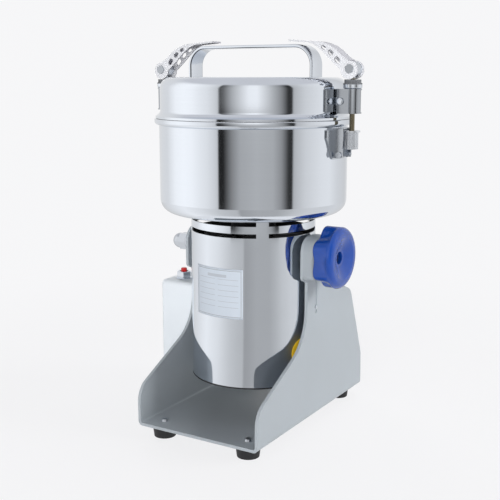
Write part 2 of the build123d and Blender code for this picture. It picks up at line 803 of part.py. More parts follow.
with BuildPart() as field_coils:
    for coil_z in (stator_z[0] - seat_gap - coil_h, stator_z[1] + seat_gap):
        with BuildSketch(level(coil_z)):
            Circle(coil_r[1])
            Circle(coil_r[0], mode=Mode.SUBTRACT)
        extrude(amount=coil_h)
    fillet(field_coils.edges().filter_by(GeomType.CIRCLE), coil_edge_r)
save(field_coils, "field_coils")

# Brush gear on the lower end plate
holder_z = lower_plate_top + seat_gap
brush_mid_z = sum(commutator_z) / 2
holder_in = commutator_r + holder_gap
with BuildPart() as brush_holders:
    for sign in (-1, 1):
        with BuildSketch(Plane((0, pivot_y + sign * holder_in, brush_mid_z),
                               x_dir=(-sign, 0, 0), z_dir=(0, sign, 0))):
            height = brush_mid_z + brush_section[1] / 2 + holder_wall - holder_z
            with Locations((0, brush_section[1] / 2 + holder_wall - height / 2)):
                Rectangle(brush_section[0] + 2 * holder_wall, height)
            Rectangle(brush_section[0] + 2 * seat_gap, brush_section[1] + 2 * seat_gap, mode=Mode.SUBTRACT)
        extrude(amount=brush_length + holder_over)
save(brush_holders, "brush_holders")

with BuildPart() as carbon_brushes:
    for sign in (-1, 1):
        with BuildSketch(Plane((0, pivot_y + sign * (commutator_r + part_gap), brush_mid_z),
                               x_dir=(sign, 0, 0), z_dir=(0, sign, 0))):
            Rectangle(*brush_section)
        extrude(amount=brush_length)
save(carbon_brushes, "carbon_brushes")

# Rotor: shaft, armature, commutator and fan
blade_z = [blade_first_z + i * blade_pitch for i in range(3)]
shaft_step = bowl_bottom + bowl_wall + boss_h + shaft_relief
shaft_top = blade_z[2] + blade_thick + blade_nut_h + shaft_over
with BuildPart() as motor_shaft:
    turned([
        (0, lower_ring_z - shaft_tail), (lower_journal_d / 2, lower_ring_z - shaft_tail),
        (lower_journal_d / 2, lower_ring_top + shaft_shoulder),
        (shaft_core_d / 2, lower_ring_top + shaft_shoulder),
        (shaft_core_d / 2, upper_ring_z - shaft_relief), (shaft_d / 2, upper_ring_z - shaft_relief),
        (shaft_d / 2, shaft_step), (blade_seat_d / 2, shaft_step),
        (blade_seat_d / 2, shaft_top), (0, shaft_top)])
save(motor_shaft, "motor_shaft")

core_bore_r = shaft_core_d / 2 + running_gap
armature_r = stator_bore_r - air_gap
with BuildPart() as armature_core:
    with BuildSketch(level(stator_z[0])):
        Circle(armature_r)
        Circle(core_bore_r, mode=Mode.SUBTRACT)
        with PolarLocations(armature_r, armature_slots):
            Rectangle(2 * armature_slot[1], armature_slot[0], mode=Mode.SUBTRACT)
    extrude(amount=stator_z[1] - stator_z[0])
save(armature_core, "armature_core")

with BuildPart() as armature_winding:
    for head_z in (stator_z[0] - seat_gap - winding_h, stator_z[1] + seat_gap):
        with BuildSketch(level(head_z)):
            Circle(winding_r)
            Circle(core_bore_r, mode=Mode.SUBTRACT)
        extrude(amount=winding_h)
    rims = armature_winding.edges().filter_by(GeomType.CIRCLE).group_by(SortBy.RADIUS)[-1]
    fillet(rims, coil_edge_r)
save(armature_winding, "armature_winding")

with BuildPart() as commutator:
    turned([
        (core_bore_r, commutator_z[0]), (commutator_r, commutator_z[0]),
        (commutator_r, commutator_z[1] - commutator_riser),
        (commutator_r + commutator_riser, commutator_z[1] - commutator_riser),
        (commutator_r + commutator_riser, commutator_z[1]),
        (core_bore_r, commutator_z[1])])
save(commutator, "commutator")

with BuildPart() as cooling_fan:
    with BuildSketch(level(fan_z)):
        Circle(fan_r)
        Circle(core_bore_r, mode=Mode.SUBTRACT)
    extrude(amount=fan_plate)
    with BuildSketch(level(fan_z + fan_plate)):
        Circle(core_bore_r + fan_hub_wall)
        Circle(core_bore_r, mode=Mode.SUBTRACT)
    extrude(amount=fan_blade_h)
    with BuildSketch(level(fan_z + fan_plate)):
        with PolarLocations(fan_blade_pitch_r, fan_blades):
            Rectangle(fan_blade_length, fan_plate, rotation=fan_blade_turn)
    extrude(amount=fan_blade_h)
save(cooling_fan, "cooling_fan")

# Bowl: a drawn pan with a half-round band on its rim and a boss round the shaft seal
inside_r = bowl_r - bowl_wall
floor_z = bowl_bottom + bowl_wall
corner_in_r = bowl_corner_r - bowl_wall
band_in = bowl_r + seat_gap
with BuildPart() as bowl:
    with BuildSketch(front):
        with BuildLine():
            Polyline((seal_r + seat_gap, floor_z + boss_h), (seal_r + seat_gap, bowl_bottom),
                     (bowl_r - bowl_corner_r, bowl_bottom))
            RadiusArc((bowl_r - bowl_corner_r, bowl_bottom), (bowl_r, bowl_bottom + bowl_corner_r),
                      -bowl_corner_r)
            Polyline((bowl_r, bowl_bottom + bowl_corner_r), (bowl_r, rim_z), (inside_r, rim_z),
                     (inside_r, bowl_bottom + bowl_corner_r))
            RadiusArc((inside_r, bowl_bottom + bowl_corner_r), (bowl_r - bowl_corner_r, floor_z), corner_in_r)
            Polyline((bowl_r - bowl_corner_r, floor_z), (boss_r, floor_z), (boss_r, floor_z + boss_h),
                     (seal_r + seat_gap, floor_z + boss_h))
        make_face()
    revolve(axis=vertical)
    with BuildSketch(front):
        with BuildLine():
            ThreePointArc((band_in, rim_z - bead_height), (bead_r, rim_z - bead_height / 2), (band_in, rim_z))
            Line((band_in, rim_z), (band_in, rim_z - bead_height))
        make_face()
    revolve(axis=vertical)
save(bowl, "bowl")

with BuildPart() as shaft_seal:
    turned([
        (shaft_d / 2 + running_gap, bowl_bottom + seal_rise), (seal_r, bowl_bottom + seal_rise),
        (seal_r, floor_z + boss_h - seal_sink), (shaft_d / 2 + running_gap, floor_z + boss_h - seal_sink)])
save(shaft_seal, "shaft_seal")

# Blades: bent steel bars stacked on the shaft with spacers between
seat_bore_r = blade_seat_d / 2 + running_gap
flat_half = blade_span / 2 - blade_tip_length
blades = (("lower_blade", 0, -12.0), ("middle_blade", 60, 0.0), ("upper_blade", 120, 30.0))
for (name, turn, tip_angle), z in zip(blades, blade_z):
    rise = blade_tip_length * sin(radians(tip_angle))
    tip_x = flat_half + blade_tip_length * cos(radians(tip_angle))
    with BuildPart() as blade:
        with BuildSketch(front.rotated((0, 0, turn))):
            with BuildLine():
                Polyline((-tip_x, z + rise), (-flat_half, z), (flat_half, z), (tip_x, z + rise),
                         (tip_x, z + rise + blade_thick), (flat_half, z + blade_thick),
                         (-flat_half, z + blade_thick), (-tip_x, z + rise + blade_thick), close=True)
            make_face()
        extrude(amount=blade_width / 2, both=True)
        with BuildSketch(level(z - blade_span / 4).rotated((0, 0, turn))):
            with BuildLine():
                Polyline((-tip_x, -blade_tip_width / 2), (-flat_half / 3, -blade_width / 2),
                         (flat_half / 3, -blade_width / 2), (tip_x, -blade_tip_width / 2), (tip_x, 0),
                         (flat_half / 3, blade_width / 2), (-flat_half / 3, blade_width / 2), (-tip_x, 0),
                         close=True)
            make_face()
        extrude(amount=blade_span / 2, mode=Mode.INTERSECT)
        with BuildSketch(level(z)):
            Circle(seat_bore_r)
        extrude(amount=blade_thick, mode=Mode.SUBTRACT)
    save(blade, name)

spacer_spans = [(shaft_step, blade_z[0] - seat_gap)]
spacer_spans += [(z + blade_thick + seat_gap, z + blade_pitch - seat_gap) for z in blade_z[:2]]
with BuildPart() as blade_spacers:
    for low, high in spacer_spans:
        with BuildSketch(level(low)):
            Circle(spacer_d / 2)
            Circle(seat_bore_r, mode=Mode.SUBTRACT)
        extrude(amount=high - low)
save(blade_spacers, "blade_spacers")

with BuildPart() as blade_nut:
    with BuildSketch(level(blade_z[2] + blade_thick + seat_gap)):
        RegularPolygon(blade_nut_af / 2, 6, major_radius=False)
        Circle(seat_bore_r, mode=Mode.SUBTRACT)
    extrude(amount=blade_nut_h)
save(blade_nut, "blade_nut")

# Lid: a shallow drawn cover with a flared lip over the gasket
lid_in_r = lid_r - lid_wall
lip_bottom = rim_z + lid_gap
gasket_low = rim_z + gasket_gap
gasket_top = gasket_low + gasket_h
lip_in_r = lid_lip_r - lid_lip_wall
with BuildPart() as lid:
    with BuildSketch(front):
        with BuildLine():
            Polyline((0, lid_top - lid_wall), (0, lid_top), (lid_r - lid_shoulder_r, lid_top))
            RadiusArc((lid_r - lid_shoulder_r, lid_top), (lid_r, lid_top - lid_shoulder_r), lid_shoulder_r)
            Line((lid_r, lid_top - lid_shoulder_r), (lid_r, lid_flare_z))
            Spline((lid_r, lid_flare_z), (lid_lip_r, lip_bottom + lid_lip_h), tangents=((0, -1), (1, -0.6)))
            Polyline((lid_lip_r, lip_bottom + lid_lip_h), (lid_lip_r, lip_bottom),
                     (lip_in_r, lip_bottom), (lip_in_r, gasket_top + seat_gap),
                     (lid_in_r, gasket_top + seat_gap), (lid_in_r, lid_top - lid_shoulder_r))
            RadiusArc((lid_in_r, lid_top - lid_shoulder_r), (lid_r - lid_shoulder_r, lid_top - lid_wall),
                      -(lid_shoulder_r - lid_wall))
            Line((lid_r - lid_shoulder_r, lid_top - lid_wall), (0, lid_top - lid_wall))
        make_face()
    revolve(axis=vertical)
    with BuildSketch(Plane((-bead_r, pivot_y, saddle_pin_z), x_dir=(0, 1, 0), z_dir=(1, 0, 0))):
        with Locations((-rivet_y, 0), (rivet_y, 0)):
            Circle(rivet_d / 2 + seat_gap)
    extrude(amount=2 * bead_r, mode=Mode.SUBTRACT)
save(lid, "lid")

with BuildPart() as lid_gasket:
    turned([
        (lid_in_r + part_gap, gasket_low), (lip_in_r - gasket_gap, gasket_low),
        (lip_in_r - gasket_gap, gasket_top), (lid_in_r + part_gap, gasket_top)])
save(lid_gasket, "lid_gasket")

with BuildPart() as lid_handle:
    with BuildSketch(front):
        with BuildLine():
            FilletPolyline(
                (-handle_half, lid_top), (-handle_half, lid_top + handle_height),
                (handle_half, lid_top + handle_height), (handle_half, lid_top),
                (handle_half - handle_strap, lid_top),
                (handle_half - handle_strap, lid_top + handle_height - handle_strap),
                (-handle_half + handle_strap, lid_top + handle_height - handle_strap),
                (-handle_half + handle_strap, lid_top),
                radius=[0, handle_corner_r, handle_corner_r, 0, 0,
                        handle_corner_r - handle_strap, handle_corner_r - handle_strap, 0], close=True)
        make_face()
    extrude(amount=handle_width / 2, both=True)
save(lid_handle, "lid_handle")

# Latches: lugs riveted to the lid and catches welded to the bowl
lug_in = lid_r + seat_gap
lug_out = lug_in + lug_plate
lug_low = lid_flare_z + part_gap
ear_in = lug_ear_gap / 2
cheek_in = ear_in + lug_ear + part_gap
saddle_low = saddle_pin_z - saddle_height / 2
saddle_high = saddle_pin_z + saddle_height / 2
cup_bottom = saddle_high + seat_gap
catch_in = bowl_r + seat_gap
catch_out = catch_in + lip_sheet
lip_low = flange_top + lip_gap
catch_low = lip_low - catch_height
cheek_gap = lever_width / 2 - lever_sheet
with BuildPart() as latch_lugs:
    with BuildSketch(level(lug_low)):
        Circle(lug_out)
        Circle(lug_in, mode=Mode.SUBTRACT)
        Rectangle(3 * lug_out, 2 * lug_half_width, mode=Mode.INTERSECT)
    extrude(amount=lug_top_z - lug_low)
    for side, s in sides:
        for ear_y in (ear_in, -ear_in - lug_ear):
            with BuildSketch(front.offset(ear_y)):
                with Locations((s * (lug_out - lug_plate / 2 + saddle_pin_r) / 2, saddle_pin_z)):
                    Rectangle(saddle_pin_r - lug_out + lug_plate / 2, 2 * lug_ear_r)
                with Locations((s * saddle_pin_r, saddle_pin_z)):
                    Circle(lug_ear_r)
                    Circle(saddle_pin_d / 2 + running_gap, mode=Mode.SUBTRACT)
            extrude(amount=lug_ear)
    with BuildSketch(Plane((-bead_r, pivot_y, saddle_pin_z), x_dir=(0, 1, 0), z_dir=(1, 0, 0))):
        with Locations((-rivet_y, 0), (rivet_y, 0)):
            Circle(rivet_d / 2 + seat_gap)
    extrude(amount=2 * bead_r, mode=Mode.SUBTRACT)
save(latch_lugs, "latch_lugs")

web_root = catch_in + lip_sheet / 2
web_low = catch_low + lip_sheet
with BuildPart() as bowl_catches:
    with BuildSketch(level(catch_low - lip_sheet)):
        Circle(catch_out)
        Circle(catch_in, mode=Mode.SUBTRACT)
        Rectangle(3 * catch_out, 2 * (catch_wing + lip_sheet), mode=Mode.INTERSECT)
    extrude(amount=catch_height + 2 * lip_sheet)
    with BuildSketch(Plane((-catch_reach, pivot_y, lip_low), x_dir=(0, 1, 0), z_dir=(1, 0, 0))):
        with BuildLine():
            FilletPolyline(
                (-catch_wing, 0), (-catch_wing, -catch_wing_h), (-catch_foot_half, -catch_height),
                (catch_foot_half, -catch_height), (catch_wing, -catch_wing_h), (catch_wing, 0),
                radius=[0, catch_bends[0], catch_bends[1], catch_bends[1], catch_bends[0], 0], close=True)
        make_face()
    extrude(amount=2 * catch_reach, mode=Mode.INTERSECT)
    with BuildSketch(level(lip_low)):
        Rectangle(2 * catch_reach, 2 * catch_half_width)
        Circle(catch_in, mode=Mode.SUBTRACT)
        with Locations((-rod_r, 0), (rod_r, 0)):
            Circle(flange_d / 2 + lip_notch_gap, mode=Mode.SUBTRACT)
    extrude(amount=lip_sheet)
    for side, s in sides:
        for web_y in (catch_half_width - lip_sheet, -catch_half_width):
            with BuildSketch(front.offset(web_y)):
                with BuildLine():
                    Polyline(
                        (s * web_root, lip_low), (s * catch_reach, lip_low),
                        (s * catch_reach, lip_low - catch_wing_h), (s * catch_foot_r, web_low),
                        (s * web_root, web_low), close=True)
                make_face()
                with Locations((s * catch_rivet_r, catch_rivet_z)):
                    Circle(catch_rivet_d / 2 + seat_gap, mode=Mode.SUBTRACT)
            extrude(amount=lip_sheet)
save(bowl_catches, "bowl_catches")

# Fasteners of the latches
with BuildPart() as catch_rivets:
    grip = lip_sheet / 2 + seat_gap
    for side, s in sides:
        for web_mid in (catch_half_width - lip_sheet / 2, lip_sheet / 2 - catch_half_width):
            with BuildSketch(front.offset(web_mid)):
                with Locations((s * catch_rivet_r, catch_rivet_z)):
                    Circle(catch_rivet_d / 2)
            extrude(amount=grip, both=True)
            for head_from in (web_mid + grip, web_mid - grip - catch_rivet_head_h):
                with BuildSketch(front.offset(head_from)):
                    with Locations((s * catch_rivet_r, catch_rivet_z)):
                        Circle(catch_rivet_head_d / 2)
                extrude(amount=catch_rivet_head_h)
save(catch_rivets, "catch_rivets")

with BuildPart() as saddle_pins:
    pin_half = cheek_in + saddle_cheek + part_gap
    for side, s in sides:
        with BuildSketch(front):
            with Locations((s * saddle_pin_r, saddle_pin_z)):
                Circle(saddle_pin_d / 2)
        extrude(amount=pin_half, both=True)
        for head_y in (pin_half, -pin_half - pin_head_h):
            with BuildSketch(front.offset(head_y)):
                with Locations((s * saddle_pin_r, saddle_pin_z)):
                    Circle(pin_head_d / 2)
            extrude(amount=pin_head_h)
    fillet(saddle_pins.faces().filter_by(Axis.Y).group_by(Axis.Y)[0].edges(), pin_head_edge_r)
    fillet(saddle_pins.faces().filter_by(Axis.Y).group_by(Axis.Y)[-1].edges(), pin_head_edge_r)
save(saddle_pins, "saddle_pins")

with BuildPart() as lug_rivets:
    head_x = sqrt(lug_out ** 2 - (rivet_y - rivet_head_d / 2) ** 2) + seat_gap
    foot_in = sqrt(lid_in_r ** 2 - (rivet_y + rivet_d / 2) ** 2)
    for side, s in sides:
        with BuildSketch(Plane((s * foot_in, pivot_y, saddle_pin_z), x_dir=(0, 1, 0), z_dir=(s, 0, 0))):
            with Locations((-rivet_y, 0), (rivet_y, 0)):
                Circle(rivet_d / 2)
        extrude(amount=head_x - foot_in)
        with BuildSketch(Plane((s * head_x, pivot_y, saddle_pin_z), x_dir=(0, 1, 0), z_dir=(s, 0, 0))):
            with Locations((-rivet_y, 0), (rivet_y, 0)):
                Circle(rivet_head_d / 2)
        extrude(amount=rivet_head_h)
save(lug_rivets, "lug_rivets")

# Latch movements: saddle, cup washer, draw rod, cam lever and knurled nut, once for each side
for side, s in sides:
    with BuildPart() as saddle:
        with BuildSketch(level(saddle_low)):
            with Locations((s * rod_r, 0)):
                Circle(barrel_r)
        extrude(amount=saddle_height)
        for plate_z in (saddle_low, saddle_high - saddle_plate):
            with BuildSketch(level(plate_z)):
                with Locations((s * rod_r, 0)):
                    Circle(barrel_r + saddle_plate_over)
                with Locations((s * (saddle_pin_r + rod_r) / 2, 0)):
                    Rectangle(rod_r - saddle_pin_r, 2 * (cheek_in + saddle_cheek))
            extrude(amount=saddle_plate)
        for cheek_y in (cheek_in, -cheek_in - saddle_cheek):
            with BuildSketch(front.offset(cheek_y)):
                with Locations((s * (saddle_back_r + rod_r) / 2, saddle_pin_z)):
                    Rectangle(rod_r - saddle_back_r, saddle_height)
                with Locations((s * saddle_pin_r, saddle_pin_z)):
                    Circle(saddle_pin_d / 2 + running_gap, mode=Mode.SUBTRACT)
            extrude(amount=saddle_cheek)
        with BuildSketch(front):
            with Locations((s * saddle_pin_r, saddle_pin_z)):
                Circle(lug_ear_r + part_gap)
        extrude(amount=cheek_in, both=True, mode=Mode.SUBTRACT)
        with BuildSketch(level(saddle_low)):
            with Locations((s * rod_r, 0)):
                Circle(rod_d / 2 + part_gap)
        extrude(amount=saddle_height, mode=Mode.SUBTRACT)
    save(saddle, f"latch_saddle_{side}")

    with BuildPart() as cup:
        with BuildSketch(front):
            with BuildLine():
                Polyline(*[(s * (rod_r + dr), cup_bottom + dz) for dr, dz in (
                    (rod_d / 2 + part_gap, 0), (cup_r - cup_edge, 0), (cup_r, cup_edge), (cup_r, cup_waist_h),
                    (cup_r - cup_edge, cup_waist_h + cup_step), (cup_r - cup_edge, cup_h),
                    (rod_d / 2 + part_gap, cup_h))], close=True)
            make_face()
        revolve(axis=Axis((s * rod_r, pivot_y, 0), (0, 0, 1)))
    save(cup, f"cup_washer_{side}")

    with BuildPart() as rod:
        with BuildSketch(level(rod_bottom)):
            with Locations((s * rod_r, 0)):
                Circle(rod_d / 2)
        extrude(amount=lever_pin_z - rod_bottom)
        with BuildSketch(front):
            with Locations((s * rod_r, lever_pin_z)):
                Circle(rod_eye_r)
        extrude(amount=cheek_gap - part_gap, both=True)
        with BuildSketch(front):
            with Locations((s * rod_r, lever_pin_z)):
                Circle(lever_pin_d / 2 + running_gap)
        extrude(amount=lever_width, both=True, mode=Mode.SUBTRACT)
    save(rod, f"latch_rod_{side}")

    with BuildPart() as lever_pin:
        with BuildSketch(front):
            with Locations((s * rod_r, lever_pin_z)):
                Circle(lever_pin_d / 2)
        extrude(amount=lever_width / 2 + part_gap, both=True)
        for head_y in (lever_width / 2 + part_gap, -lever_width / 2 - part_gap - lever_pin_head):
            with BuildSketch(front.offset(head_y)):
                with Locations((s * rod_r, lever_pin_z)):
                    Circle(lever_pin_d / 2 + lever_pin_head)
            extrude(amount=lever_pin_head)
    save(lever_pin, f"lever_pin_{side}")

    back = [(s * (rod_r + x), lever_pin_z + z) for x, z in lever_back]
    under = [(x - s * lever_web_shift[0], z - lever_web_shift[1]) for x, z in back]
    belly = [(s * (rod_r + x), lever_pin_z + z) for x, z in lever_belly]
    tip = (s * (rod_r + lever_tip[0]), lever_pin_z + lever_tip[1])
    cam_x = rod_r - cam_offset * sin(radians(cam_phase))
    cam_at = (s * cam_x, lever_pin_z - cam_offset * cos(radians(cam_phase)))
    beyond = s * (rod_r + 2 * cam_r)
    with BuildPart() as lever:
        with BuildSketch(front):
            with BuildLine():
                Spline(*back)
                Polyline(back[-1], tip, (tip[0], tip[1] - lever_sheet), belly[0])
                Spline(*belly)
                Line(belly[-1], back[0])
            make_face()
            with Locations(cam_at):
                Circle(cam_r)
        extrude(amount=lever_width / 2, both=True)
        with BuildSketch(front):
            with BuildLine():
                Spline(*under)
                Polyline(under[-1], (under[-1][0], lever_pin_z - 2 * cam_r),
                         (beyond, lever_pin_z - 2 * cam_r), (beyond, lever_pin_z + 2 * cam_r),
                         (back[0][0], lever_pin_z + 2 * cam_r),
                         (back[0][0], under[0][1]), under[0])
            make_face()
        extrude(amount=cheek_gap, both=True, mode=Mode.SUBTRACT)
        with BuildSketch(front):
            with Locations((s * rod_r, lever_pin_z)):
                Circle(lever_pin_d / 2 + running_gap)
            for (hole_x, hole_z), (hole_l, hole_w), hole_turn in lever_holes:
                with Locations((s * (rod_r + hole_x), lever_pin_z + hole_z)):
                    SlotOverall(hole_l, hole_w, rotation=-s * hole_turn)
        extrude(amount=lever_width, both=True, mode=Mode.SUBTRACT)
    save(lever, f"latch_lever_{side}")

    with BuildPart() as nut:
        with BuildSketch(level(flange_top - flange_h - knurl_h)):
            with Locations((s * rod_r, 0)):
                Circle(knurl_d / 2)
                with PolarLocations(knurl_d / 2, knurl_count):
                    Circle(knurl_r, mode=Mode.SUBTRACT)
        extrude(amount=knurl_h)
        with BuildSketch(level(flange_top - flange_h)):
            with Locations((s * rod_r, 0)):
                Circle(flange_d / 2)
        extrude(amount=flange_h)
        with BuildSketch(level(flange_top - flange_h - knurl_h)):
            with Locations((s * rod_r, 0)):
                Circle(rod_d / 2 + running_gap)
        extrude(amount=knurl_h + flange_h, mode=Mode.SUBTRACT)
    save(nut, f"latch_nut_{side}")
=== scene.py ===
"""Electric spice grinder: finished surfaces and materials over the shared frame."""

import bpy
import numpy as np
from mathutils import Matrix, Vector


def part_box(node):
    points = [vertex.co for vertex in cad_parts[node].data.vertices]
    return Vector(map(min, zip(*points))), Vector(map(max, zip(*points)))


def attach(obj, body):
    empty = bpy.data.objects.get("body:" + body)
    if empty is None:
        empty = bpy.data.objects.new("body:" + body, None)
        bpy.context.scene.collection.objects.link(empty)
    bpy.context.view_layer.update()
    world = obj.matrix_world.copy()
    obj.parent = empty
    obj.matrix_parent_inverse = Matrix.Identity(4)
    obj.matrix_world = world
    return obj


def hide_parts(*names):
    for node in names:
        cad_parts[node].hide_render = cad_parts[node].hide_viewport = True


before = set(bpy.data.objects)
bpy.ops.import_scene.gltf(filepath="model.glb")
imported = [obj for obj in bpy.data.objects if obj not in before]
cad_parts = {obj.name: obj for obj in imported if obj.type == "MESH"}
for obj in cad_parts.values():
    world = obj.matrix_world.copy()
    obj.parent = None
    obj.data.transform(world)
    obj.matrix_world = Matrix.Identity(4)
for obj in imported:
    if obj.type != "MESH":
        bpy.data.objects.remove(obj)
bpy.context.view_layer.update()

bl_info = {
    "name": "Spice grinder",
    "version": (1, 0, 0),
    "blender": (4, 5, 0),
    "location": "3D View > Sidebar > Grinder",
    "description": "Dresses the spice grinder and sets its studio stage",
    "category": "Object",
}

MM = 0.001
TURN = 2.0 * np.pi


# Places read from the shared frame

def span(node):
    """Low and high corner of a node's box as two arrays, in metres."""
    low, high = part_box(node)
    return np.array(low), np.array(high)


def middle(node):
    """Centre of a node's box, in metres."""
    low, high = span(node)
    return (low + high) / 2.0


def half_width(node):
    """Half of a node's width along X, in metres, which is the radius of a turned piece."""
    low, high = span(node)
    return (high[0] - low[0]) / 2.0


AXIS_Y = float(middle("motor_housing")[1])


# Settings shown in the panel

class GrinderSizes(bpy.types.PropertyGroup):
    """Sizes of the finished surfaces that the frame does not carry."""

    sheet: bpy.props.FloatProperty(
        name="Sheet", description="Thickness of the drawn steel", default=2.0 * MM, unit="LENGTH")
    bowl_bend: bpy.props.FloatProperty(
        name="Bowl bend", description="Radius under the bowl", default=14.0 * MM, unit="LENGTH")
    lid_sheet: bpy.props.FloatProperty(
        name="Lid sheet", description="Thickness of the lid", default=1.5 * MM, unit="LENGTH")
    lid_bend: bpy.props.FloatProperty(
        name="Lid bend", description="Radius round the lid's top", default=11.0 * MM, unit="LENGTH")
    knob_scallop: bpy.props.FloatProperty(
        name="Knob scallop", description="Depth of the hollows in the knob", default=5.2 * MM, unit="LENGTH")
    plate_height: bpy.props.FloatProperty(
        name="Plate height", description="Height of the blank plate on the motor", default=50.0 * MM,
        unit="LENGTH")
    steps: bpy.props.IntProperty(
        name="Steps", description="Facets round a turned piece", default=256, min=32)


class GrinderColours(bpy.types.PropertyGroup):
    """Colours of the finished surfaces, scene linear."""

    steel: bpy.props.FloatVectorProperty(
        name="Steel", description="Polished stainless steel", default=(0.76, 0.80, 0.86),
        size=3, subtype="COLOR")
    coat: bpy.props.FloatVectorProperty(
        name="Coat", description="Grey powder coat of the stand", default=(0.42, 0.46, 0.49),
        size=3, subtype="COLOR")
    knob: bpy.props.FloatVectorProperty(
        name="Knob", description="Blue of the clamp knob", default=(0.004, 0.055, 0.33),
        size=3, subtype="COLOR")
    button: bpy.props.FloatVectorProperty(
        name="Button", description="Red of the reset button", default=(0.62, 0.012, 0.012),
        size=3, subtype="COLOR")
    box: bpy.props.FloatVectorProperty(
        name="Box", description="White of the control box", default=(0.87, 0.92, 0.97),
        size=3, subtype="COLOR")
    zinc: bpy.props.FloatVectorProperty(
        name="Zinc", description="Yellow plating of the rods", default=(0.40, 0.35, 0.24),
        size=3, subtype="COLOR")
    rubber: bpy.props.FloatVectorProperty(
        name="Rubber", description="Black rubber of the feet", default=(0.012, 0.012, 0.013),
        size=3, subtype="COLOR")
    disc: bpy.props.FloatVectorProperty(
        name="Disc", description="Yellow of the plain disc", default=(0.85, 0.55, 0.03),
        size=3, subtype="COLOR")


# Outlines and surfaces

def rounded(corners, closed=True, steps=10):
    """Outline through corners (x, y, radius), each corner turned into an arc of its radius.

    The arc leaves the incoming side radius times the tangent of half the turn before the corner. Its
    points are the spherical blend of the two spokes from the arc's centre to its ends.
    """
    spots = np.array([corner[:2] for corner in corners], float)
    count = len(spots)
    runs = []
    for place, corner in enumerate(corners):
        radius = corner[2]
        at_end = not closed and place in (0, count - 1)
        if radius <= 0.0 or at_end:
            runs.append(spots[place][None])
            continue
        here = spots[place]
        into = here - spots[place - 1]
        away = spots[(place + 1) % count] - here
        into = into / np.linalg.norm(into)
        away = away / np.linalg.norm(away)
        turn = np.arccos(np.clip(into @ away, -1.0, 1.0))
        reach = radius * np.tan(turn / 2.0)
        inward = (away - into) / np.linalg.norm(away - into)
        centre = here + inward * radius / np.cos(turn / 2.0)
        first = here - into * reach - centre
        last = here + away * reach - centre
        share = np.linspace(0.0, 1.0, steps + 1)[:, None]
        arc = (np.sin((1.0 - share) * turn) * first + np.sin(share * turn) * last) / np.sin(turn)
        runs.append(centre + arc)
    return np.concatenate(runs)


def turned(outline, steps):
    """Grid of points of an outline (radius, height) turned about the upright motor axis.

    x is the radius times the cosine of the angle, y the sine from the axis, z the height.
    """
    angle = np.linspace(0.0, TURN, steps, endpoint=False)
    radius = outline[:, 0][:, None]
    x = radius * np.cos(angle)
    y = AXIS_Y + radius * np.sin(angle)
    z = np.broadcast_to(outline[:, 1][:, None], x.shape)
    return np.stack([x, y, z], axis=2)


def grid_faces(rows, columns, closed_rows, closed_columns):
    """Quads of a grid as index rows; a closed direction joins its last line to its first."""
    row = np.arange(rows if closed_rows else rows - 1)
    column = np.arange(columns if closed_columns else columns - 1)
    r, c = np.meshgrid(row, column, indexing="ij")
    r_next = (r + 1) % rows
    c_next = (c + 1) % columns
    corners = [r * columns + c, r * columns + c_next, r_next * columns + c_next, r_next * columns + c]
    return np.stack(corners, axis=-1).reshape(-1, 4)


def facing_out(points, quads):
    """The quads, turned round if the volume that they enclose comes out negative."""
    a, b, c, d = (points[quads[:, k]] for k in range(4))
    volume = np.sum(a * np.cross(b, c)) + np.sum(a * np.cross(c, d))
    return quads if volume > 0.0 else quads[:, ::-1]


def make_piece(name, points, quads, uv=None, crease=32.0):
    """A smooth-shaded object from points and quads; edges bent more than the crease angle stay sharp.

    Points on the same spot are merged first, so that poles close and flat quads become triangles.
    """
    same_spot = 0.0005 * MM
    keys = np.round(points / same_spot).astype(np.int64)
    _, kept, index = np.unique(keys, axis=0, return_index=True, return_inverse=True)
    index = index.reshape(-1)
    faces = index[quads]
    same = faces == np.roll(faces, -1, axis=1)
    whole = faces[~same.any(axis=1)]
    bent_rows = faces[same.sum(axis=1) == 1]
    bent_same = same[same.sum(axis=1) == 1]
    thirds = bent_rows[~bent_same].reshape(-1, 3)
    mesh = bpy.data.meshes.new(name)
    mesh.from_pydata(points[kept].tolist(), [], whole.tolist() + thirds.tolist())
    if uv is not None:
        layer = mesh.uv_layers.new(name="UVMap")
        corner = np.empty(len(mesh.loops), np.int32)
        mesh.loops.foreach_get("vertex_index", corner)
        layer.data.foreach_set("uv", uv[kept][corner].astype(np.float32).ravel())
    mesh.polygons.foreach_set("use_smooth", np.ones(len(mesh.polygons), bool))
    mesh.set_sharp_from_angle(angle=np.radians(crease))
    mesh.update()
    piece = bpy.data.objects.new(name, mesh)
    bpy.context.scene.collection.objects.link(piece)
    return piece


def grid_piece(name, points, closed_rows, closed_columns, uv=None, crease=32.0):
    """A piece from a grid of points; where its columns close, its quads are turned to face outwards."""
    rows, columns = points.shape[:2]
    points = points.reshape(-1, 3)
    quads = grid_faces(rows, columns, closed_rows, closed_columns)
    if closed_columns:
        quads = facing_out(points, quads)
    return make_piece(name, points, quads, uv, crease)


def capped_sweep(name, lines):
    """A closed section carried through a row of stations; both end sections are filled by a fan.

    The lines hold the section's points at each station; each fan's hub is the mean of its end section.
    """
    hubs = np.repeat(lines[[0, -1]].mean(axis=1, keepdims=True), lines.shape[1], axis=1)
    return grid_piece(name, np.concatenate([hubs[:1], lines, hubs[1:]]), False, True)


# Node trees

